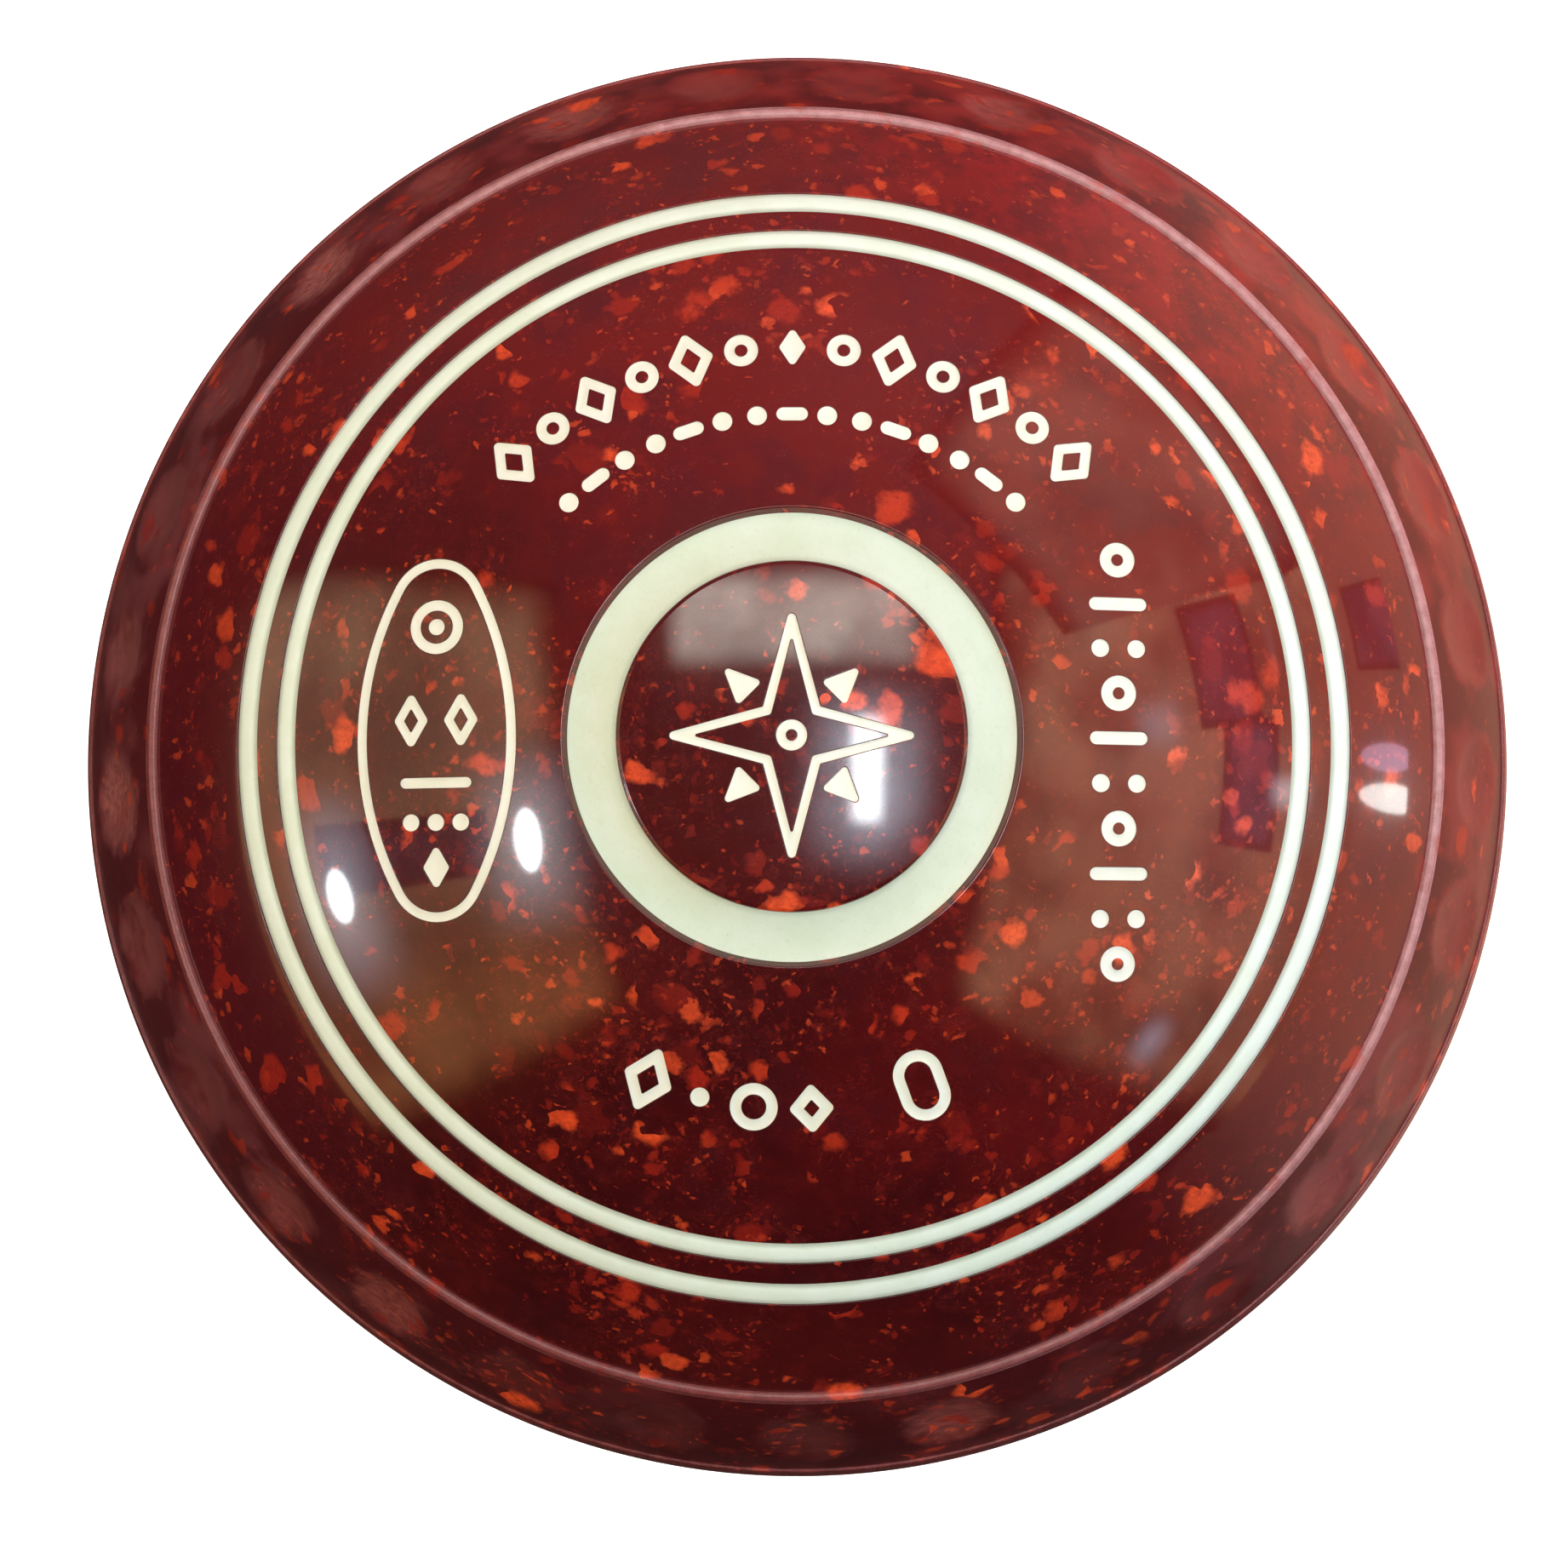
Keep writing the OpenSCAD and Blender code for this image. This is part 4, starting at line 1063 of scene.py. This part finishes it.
def core_material():
    t = Tree("core resin")
    p = t.coords()
    n = t.noise(p, 0.12, 5, 0.6)
    col = t.mix(t.span(n, 0.35, 0.65), (0.022, 0.010, 0.010), (0.045, 0.018, 0.016))
    bs = t.node("ShaderNodeBsdfPrincipled", {"Base Color": col})
    t.put(bs.inputs["Roughness"], t.span(t.noise(p, 2.0, 4, 0.6), 0.3, 0.7, 0.4, 0.6))
    bump = t.node("ShaderNodeBump", {"Strength": 0.2, "Distance": 0.0001, "Height": t.noise(p, 1.5, 4, 0.6)})
    t.put(bs.inputs["Normal"], bump.outputs[0])
    t.t.links.new(bs.outputs[0], t.out.inputs[0])
    return t.mat


# --------------------------------------------------------------------- pieces
FACE = Dome(FC, FR, 1)
BDOME = Dome(dc, BIAS_DOME_R, -1)

shell_mesh = Mesh()
lathe(shell_mesh, face_in.rows)
lathe(shell_mesh, outer.rows)
engraved_field(shell_mesh, FACE, CENTRE, [DOME_B], 0.9)
engraved_field(shell_mesh, FACE, [g for gs in GLYPHS.values() for g in gs], [FIELD_A, FIELD_B], 1.25)
engraved_field(shell_mesh, BDOME, BIAS_STAR, [DOME_C], 0.9)
shell = shell_mesh.build("bowl_shell")
for kind in ("face", "band", "lip", "run"):
    shell.data.materials.append(resin("speckled resin, " + kind, kind))
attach(shell, "root")
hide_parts("outer_shell")

cream_line = cream("cream filler, lines", (0.79, 0.84, 0.76), 0.30, (L1A, L1B, L2A, L2B), 0.72)
cream_disc = cream("cream filler, centre ring", (0.62, 0.66, 0.55), 0.26, (DISC_IN, DISC_OUT), 0.42)
cream_eng = cream("cream filler, engraving", (0.80, 0.77, 0.70), 0.34)


def place(ob, node, mat):
    ob.data.materials.append(mat)
    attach(ob, "root")
    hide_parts(node)
    return ob


place(ring_solid("outer_line_fill", line_fill(FC, FR, L1A, L1B)), "outer_line_ring", cream_line)
place(ring_solid("inner_line_fill", line_fill(FC, FR, L2A, L2B)), "inner_line_ring", cream_line)
place(ring_solid("centre_ring_fill", disc_fill()), "centre_ring", cream_disc)
place(ring_solid("bias_line_fill", line_fill(BC, BR, BIAS_LINE_R - BIAS_LINE_W, BIAS_LINE_R, -1)),
      "bias_line_ring", cream_line)
place(ring_solid("bias_centre_fill", bias_disc_fill()), "bias_centre_ring", cream_disc)
place(inlay("centre_star_inlay", FACE, CENTRE, 1), "centre_emblem", cream_eng)
for i, (node, gs) in enumerate(GLYPHS.items()):
    place(inlay(node + "_inlay", FACE, gs, 10 + i), node, cream_eng)
place(inlay("bias_star_inlay", BDOME, BIAS_STAR, 2), "bias_emblem", cream_eng)

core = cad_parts["core"]
core.data.materials.clear()
core.data.materials.append(core_material())

# --------------------------------------------------------------------- camera
CAM_D = 400.0
TX, TY = math.radians(0.438), math.radians(2.622)
cam_mm = np.array([CAM_D * math.sin(TX), -CAM_D * math.sin(TY), 0.0])
cam_mm[2] = math.sqrt(CAM_D ** 2 - cam_mm[0] ** 2 - cam_mm[1] ** 2)
target_mm = np.array([-1.066, -0.983, 0.0])
fwd = (target_mm - cam_mm) / np.linalg.norm(target_mm - cam_mm)
right = np.cross(fwd, [0, 1, 0])
right /= np.linalg.norm(right)
upv = np.cross(right, fwd)
F_PX = 5696.0


def picture_ray(px, py):
    d = fwd * F_PX + right * (px - 921.0) - upv * (py - 914.5)
    return d / np.linalg.norm(d)


def bounce(px, py, dist):
    """Where a lamp stands whose mirror image in the polished face falls at a picture point: (place, aim)."""
    d = picture_ray(px, py)
    o = cam_mm - np.array([0, 0, FC])
    b = o @ d
    q = b * b - (o @ o - FR * FR)
    t = -b - math.sqrt(q)
    p = cam_mm + d * t
    n = (p - np.array([0, 0, FC])) / FR
    r = d - 2 * (d @ n) * n
    return (p + r * dist + np.array([0, 0, EQ])) * MM, (p + np.array([0, 0, EQ])) * MM


cam_data = bpy.data.cameras.new("camera")
cam = bpy.data.objects.new("camera", cam_data)
bpy.context.scene.collection.objects.link(cam)
cam_data.sensor_fit = "HORIZONTAL"
cam_data.sensor_width = 36.0
cam_data.lens = F_PX / 1842.0 * 36.0
cam_data.clip_start = 0.02
cam_data.clip_end = 50.0
rot = Matrix(((right[0], upv[0], -fwd[0]), (right[1], upv[1], -fwd[1]), (right[2], upv[2], -fwd[2])))
cam.matrix_world = Matrix.Translation(Vector((cam_mm + np.array([0, 0, EQ])) * MM)) @ rot.to_4x4()
bpy.context.scene.camera = cam

# ---------------------------------------------------------------------- stage
bpy.ops.mesh.primitive_plane_add(size=8.0, location=(0, 0, 0))
floor = bpy.context.object
floor.name = "floor"
ft = Tree("floor")
lp = ft.node("ShaderNodeLightPath")
fp = ft.coords()
fcol = ft.mix(ft.span(ft.noise(fp, 0.01, 3, 0.5), 0.3, 0.7), (0.88, 0.88, 0.88), (0.92, 0.92, 0.92))
dif = ft.node("ShaderNodeBsdfDiffuse", {"Color": fcol})
far = ft.node("ShaderNodeVectorMath", {0: fp}, operation="LENGTH").outputs["Value"]
em = ft.node("ShaderNodeEmission", {"Color": (1.0, 1.0, 1.0), "Strength": ft.span(far, 300.0, 1300.0, 0.72, 1.0)})
add = ft.node("ShaderNodeAddShader")
ft.t.links.new(dif.outputs[0], add.inputs[0])
ft.t.links.new(em.outputs[0], add.inputs[1])
fdot = ft.node("ShaderNodeVectorMath", {0: fp, 1: (0.45, 0.89, 0.0)}, operation="DOT_PRODUCT").outputs["Value"]
fglow = ft.span(fdot, -120.0, 420.0, 0.03, 0.20)
fdir = ft.node("ShaderNodeVectorMath", {0: fp}, operation="NORMALIZE").outputs["Vector"]
fside = ft.node("ShaderNodeVectorMath", {0: fdir, 1: (0.985, 0.17, 0.0)}, operation="DOT_PRODUCT").outputs["Value"]
flobe = ft.span(fside, 0.45, 0.90)
fcolour = ft.mix(flobe, (1.0, 0.66, 0.62), (1.0, 0.50, 0.34))
dark = ft.node("ShaderNodeEmission", {"Color": fcolour, "Strength": ft.math("ADD", fglow, ft.math("MULTIPLY", flobe, 0.75))})
mx = ft.node("ShaderNodeMixShader", {"Fac": lp.outputs["Is Camera Ray"]})
ft.t.links.new(dark.outputs[0], mx.inputs[1])
ft.t.links.new(add.outputs[0], mx.inputs[2])
ft.t.links.new(mx.outputs[0], ft.out.inputs[0])
floor.data.materials.append(ft.mat)

# --------------------------------------------------------------------- lights
def facing(d, axis, up):
    """Turn of a flat piece whose local axis points along d, with its own Y towards up."""
    if not up:
        return d.to_track_quat(axis, "Y").to_matrix()
    z = d.normalized() * (-1.0 if axis == "-Z" else 1.0)
    y = (Vector(up) - Vector(up).dot(z) * z).normalized()
    return Matrix((y.cross(z), y, z)).transposed()


def lamp(name, place_m, aim_m, w, h, radiance, color, shape="RECTANGLE", spread=180, turn=0.0, up=None):
    ld = bpy.data.lights.new(name, "AREA")
    ld.shape = shape
    ld.size, ld.size_y = w, h
    area = w * h * (math.pi / 4 if shape == "ELLIPSE" else 1.0)
    ld.energy = radiance * math.pi * area
    ld.color = color
    ld.spread = math.radians(spread)
    ob = bpy.data.objects.new(name, ld)
    d = Vector(aim_m) - Vector(place_m)
    ob.matrix_world = Matrix.Translation(Vector(place_m)) @ facing(d, "-Z", up).to_4x4() @ Matrix.Rotation(turn, 4, "Z")
    bpy.context.scene.collection.objects.link(ob)
    ob.visible_camera = False
    return ob


def polar_place(az, el, dist):
    a, b = math.radians(az), math.radians(el)
    return (dist * math.cos(b) * math.cos(a), dist * math.cos(b) * math.sin(a), EQ * MM + dist * math.sin(b))


def panel(name, place_m, aim_m, w, h, radiance, color, soft=0.18, rough=0.35, scale=2.5, seed=0.0,
          other=None, across=(1.0, 0.0), rise=0.0, clear=False, up=None):
    """A glowing screen with soft edges and uneven brightness, seen only in reflections and as light."""
    me = bpy.data.meshes.new(name)
    me.from_pydata([(-w / 2, -h / 2, 0), (w / 2, -h / 2, 0), (w / 2, h / 2, 0), (-w / 2, h / 2, 0)], [], [(0, 1, 2, 3)])
    ob = bpy.data.objects.new(name, me)
    d = Vector(aim_m) - Vector(place_m)
    ob.matrix_world = Matrix.Translation(Vector(place_m)) @ facing(d, "Z", up).to_4x4()
    bpy.context.scene.collection.objects.link(ob)
    t = Tree(name)
    tc = t.node("ShaderNodeTexCoord")
    sx = t.node("ShaderNodeSeparateXYZ", {"Vector": tc.outputs["Object"]})
    fx = t.math("SUBTRACT", 1.0, t.math("ABSOLUTE", t.math("DIVIDE", sx.outputs[0], w / 2)))
    fy = t.math("SUBTRACT", 1.0, t.math("ABSOLUTE", t.math("DIVIDE", sx.outputs[1], h / 2)))
    f = t.math("MULTIPLY", t.span(fx, 0.0, soft), t.span(fy, 0.0, soft * w / h))
    nz = t.noise(t.rotate(tc.outputs["Object"], (0, 0, 0), loc=(seed, seed * 0.7, 0)), scale, 3, 0.5)
    f = t.math("MULTIPLY", f, t.span(nz, 0.32, 0.68, 1.0 - rough, 1.0 + rough))
    if rise:
        f = t.math("MULTIPLY", f, t.span(t.math("DIVIDE", sx.outputs[1], h / 2), -0.8, 0.8, 1.0 - rise, 1.0 + rise))
    tint = color
    if other:
        u = t.math("ADD", t.math("MULTIPLY", sx.outputs[0], across[0] / (w / 2)),
                   t.math("MULTIPLY", sx.outputs[1], across[1] / (h / 2)))
        u = t.math("ADD", u, t.math("MULTIPLY", t.math("SUBTRACT", nz, 0.5), 2.0))
        tint = t.mix(t.span(u, -0.6, 0.6), color, other)
    em = t.node("ShaderNodeEmission", {"Color": tint, "Strength": t.math("MULTIPLY", f, radiance)})
    if clear:
        both = t.node("ShaderNodeAddShader")
        t.t.links.new(em.outputs[0], both.inputs[0])
        t.t.links.new(t.node("ShaderNodeBsdfTransparent").outputs[0], both.inputs[1])
        em = both
    t.t.links.new(em.outputs[0], t.out.inputs[0])
    me.materials.append(t.mat)
    ob.visible_camera = False
    return ob


centre_m = (0, 0, EQ * MM)
# soft key, low on the right towards the top of the picture, a fill above and a cool light from the right
key = lamp("key", polar_place(75, 28, 1.4), centre_m, 0.76, 0.76, 4.7, (1.0, 0.95, 0.95))
key.visible_glossy = False
fill = lamp("fill", polar_place(-140, 68, 2.2), centre_m, 1.6, 1.6, 2.7, (0.76, 1.0, 0.70))
fill.visible_glossy = False
cool = lamp("cool side light", polar_place(-10, 26, 1.3), centre_m, 0.60, 0.60, 8.2, (0.06, 0.60, 1.0))
cool.visible_glossy = False
# lamps seen as bright spots in the polished face, each with a soft glow about it
upright = (0.0, 1.0, 0.0)
for nm, px, py, w, h, rad in (("spot a", 620, 987, 0.115, 0.235, 24.0), ("spot b", 399, 1053, 0.125, 0.175, 19.0)):
    pl, am = bounce(px, py, 1500.0)
    lamp(nm, pl, am, w, h, rad, (0.86, 0.96, 1.0), "ELLIPSE", up=upright)
    panel(nm + " glow", pl + (pl - am) * 0.01, am, 0.60, 0.82, 2.4, (0.70, 0.84, 1.0), 1.0, 0.1, 2.0, 2.0,
          clear=True, up=upright)
# a dim purple pane across the left-hand screen, behind those two lamps
pl, am = bounce(470, 1002, 1532.0)
panel("pane d", pl, am, 0.84, 0.24, 0.30, (0.62, 0.36, 0.50), 0.16, 0.4, 6.0, 3.0, up=upright)
pl, am = bounce(1019, 904, 1500.0)
panel("spot c", pl, am, 0.19, 0.48, 22.0, (0.90, 0.96, 1.0), 0.85, 0.2, 3.0, 4.0, clear=True, up=(0.0, 1.0, 0.0))
pl, am = bounce(1019, 916, 1450.0)
panel("spot c glow", pl, am, 0.62, 0.84, 4.4, (0.74, 0.84, 1.0), 1.0, 0.3, 3.0, 4.5, clear=True, up=(0.0, 1.0, 0.0))
pl, am = bounce(1634, 938, 300.0)
lamp("spot d", pl, am, 0.017, 0.085, 9.0, (0.92, 1.0, 0.96), "ELLIPSE")
pl, am = bounce(1630, 890, 300.0)
lamp("spot e", pl, am, 0.017, 0.070, 3.2, (0.86, 0.62, 0.95), "ELLIPSE")
pl, am = bounce(1352, 1223, 1500.0)
panel("spot f", pl, am, 0.26, 0.22, 3.2, (0.55, 0.75, 1.0), 1.0, 0.1, 3.0, 6.0, clear=True)
pl, am = bounce(1362, 851, 1500.0)
panel("spot g", pl, am, 0.26, 0.30, 1.6, (0.70, 0.82, 1.0), 1.0, 0.1, 3.0, 7.0, clear=True)
# dim purple panes before the right-hand screen, as the windows of a room show in the face
for nm, px, py, w, h, rad, tint in (("pane a", 1436, 778, 0.42, 0.30, 0.70, (0.62, 0.36, 0.50)),
                                    ("pane b", 1470, 920, 0.42, 0.27, 0.74, (0.62, 0.36, 0.52))):
    pl, am = bounce(px, py, 1480.0)
    panel(nm, pl, am, w, h, rad, tint, 0.24, 0.4, 6.0, 3.0)
pl, am = bounce(1616, 734, 300.0)
panel("pane c", pl, am, 0.052, 0.070, 0.55, (0.70, 0.38, 0.52), 0.24, 0.4, 30.0, 3.0)
for nm, px, py, w, h, rad in (("streak a", 1494, 762, 0.26, 0.075, 2.6), ("streak b", 1516, 932, 0.15, 0.26, 4.0)):
    pl, am = bounce(px, py, 1440.0)
    panel(nm, pl, am, w, h, rad, (0.80, 0.88, 1.0), 1.0, 0.2, 6.0, 3.0, clear=True)
# broad warm screens: left, right, one at the upper right and one over the dome
panel("screen left", polar_place(-169.5, 25, 1.6), centre_m, 2.2, 2.05, 1.35, (1.0, 0.70, 0.40), 0.22, 0.45, 1.6, 3.0,
      other=(0.86, 0.36, 0.13), across=(-1.0, -0.2))
panel("screen right", polar_place(-6, 25, 1.6), centre_m, 2.5, 2.4, 1.45, (1.0, 0.62, 0.38), 0.22, 0.55, 2.2, 8.0,
      other=(1.0, 0.49, 0.27), across=(1.0, 0.0), rise=0.30)
panel("screen upper right", polar_place(42, 24, 1.7), centre_m, 1.3, 1.5, 1.05, (1.0, 0.56, 0.40), 0.3, 0.4, 2.0, 5.0)
pl, am = bounce(933, 724, 1600.0)
panel("screen dome", pl, am, 1.15, 0.48, 4.5, (1.0, 0.95, 0.84), 0.24, 0.3, 3.0, 1.0)

world = bpy.data.worlds.new("world")
bpy.context.scene.world = world
world.use_nodes = True
wt = world.node_tree
wt.nodes.clear()
wo = wt.nodes.new("ShaderNodeOutputWorld")
wl = wt.nodes.new("ShaderNodeLightPath")
b1 = wt.nodes.new("ShaderNodeBackground")
b1.inputs[0].default_value = (1.0, 0.70, 0.70, 1)
wc = wt.nodes.new("ShaderNodeTexCoord")
wd_ = wt.nodes.new("ShaderNodeVectorMath")
wd_.operation = "DOT_PRODUCT"
wd_.inputs[1].default_value = (0.45, 0.89, 0.0)
wt.links.new(wc.outputs["Generated"], wd_.inputs[0])
wr = wt.nodes.new("ShaderNodeMapRange")
wr.interpolation_type = "SMOOTHSTEP"
for k_, v_ in (("From Min", -0.35), ("From Max", 0.85), ("To Min", 0.03), ("To Max", 0.21)):
    wr.inputs[k_].default_value = v_
wt.links.new(wd_.outputs["Value"], wr.inputs["Value"])
wt.links.new(wr.outputs[0], b1.inputs[1])
b2 = wt.nodes.new("ShaderNodeBackground")
b2.inputs[0].default_value = (1, 1, 1, 1)
b2.inputs[1].default_value = 1.0
wm = wt.nodes.new("ShaderNodeMixShader")
wt.links.new(wl.outputs["Is Camera Ray"], wm.inputs[0])
wt.links.new(b1.outputs[0], wm.inputs[1])
wt.links.new(b2.outputs[0], wm.inputs[2])
wt.links.new(wm.outputs[0], wo.inputs[0])

bpy.context.scene.view_settings.view_transform = "Standard"
bpy.context.scene.view_settings.look = "None"
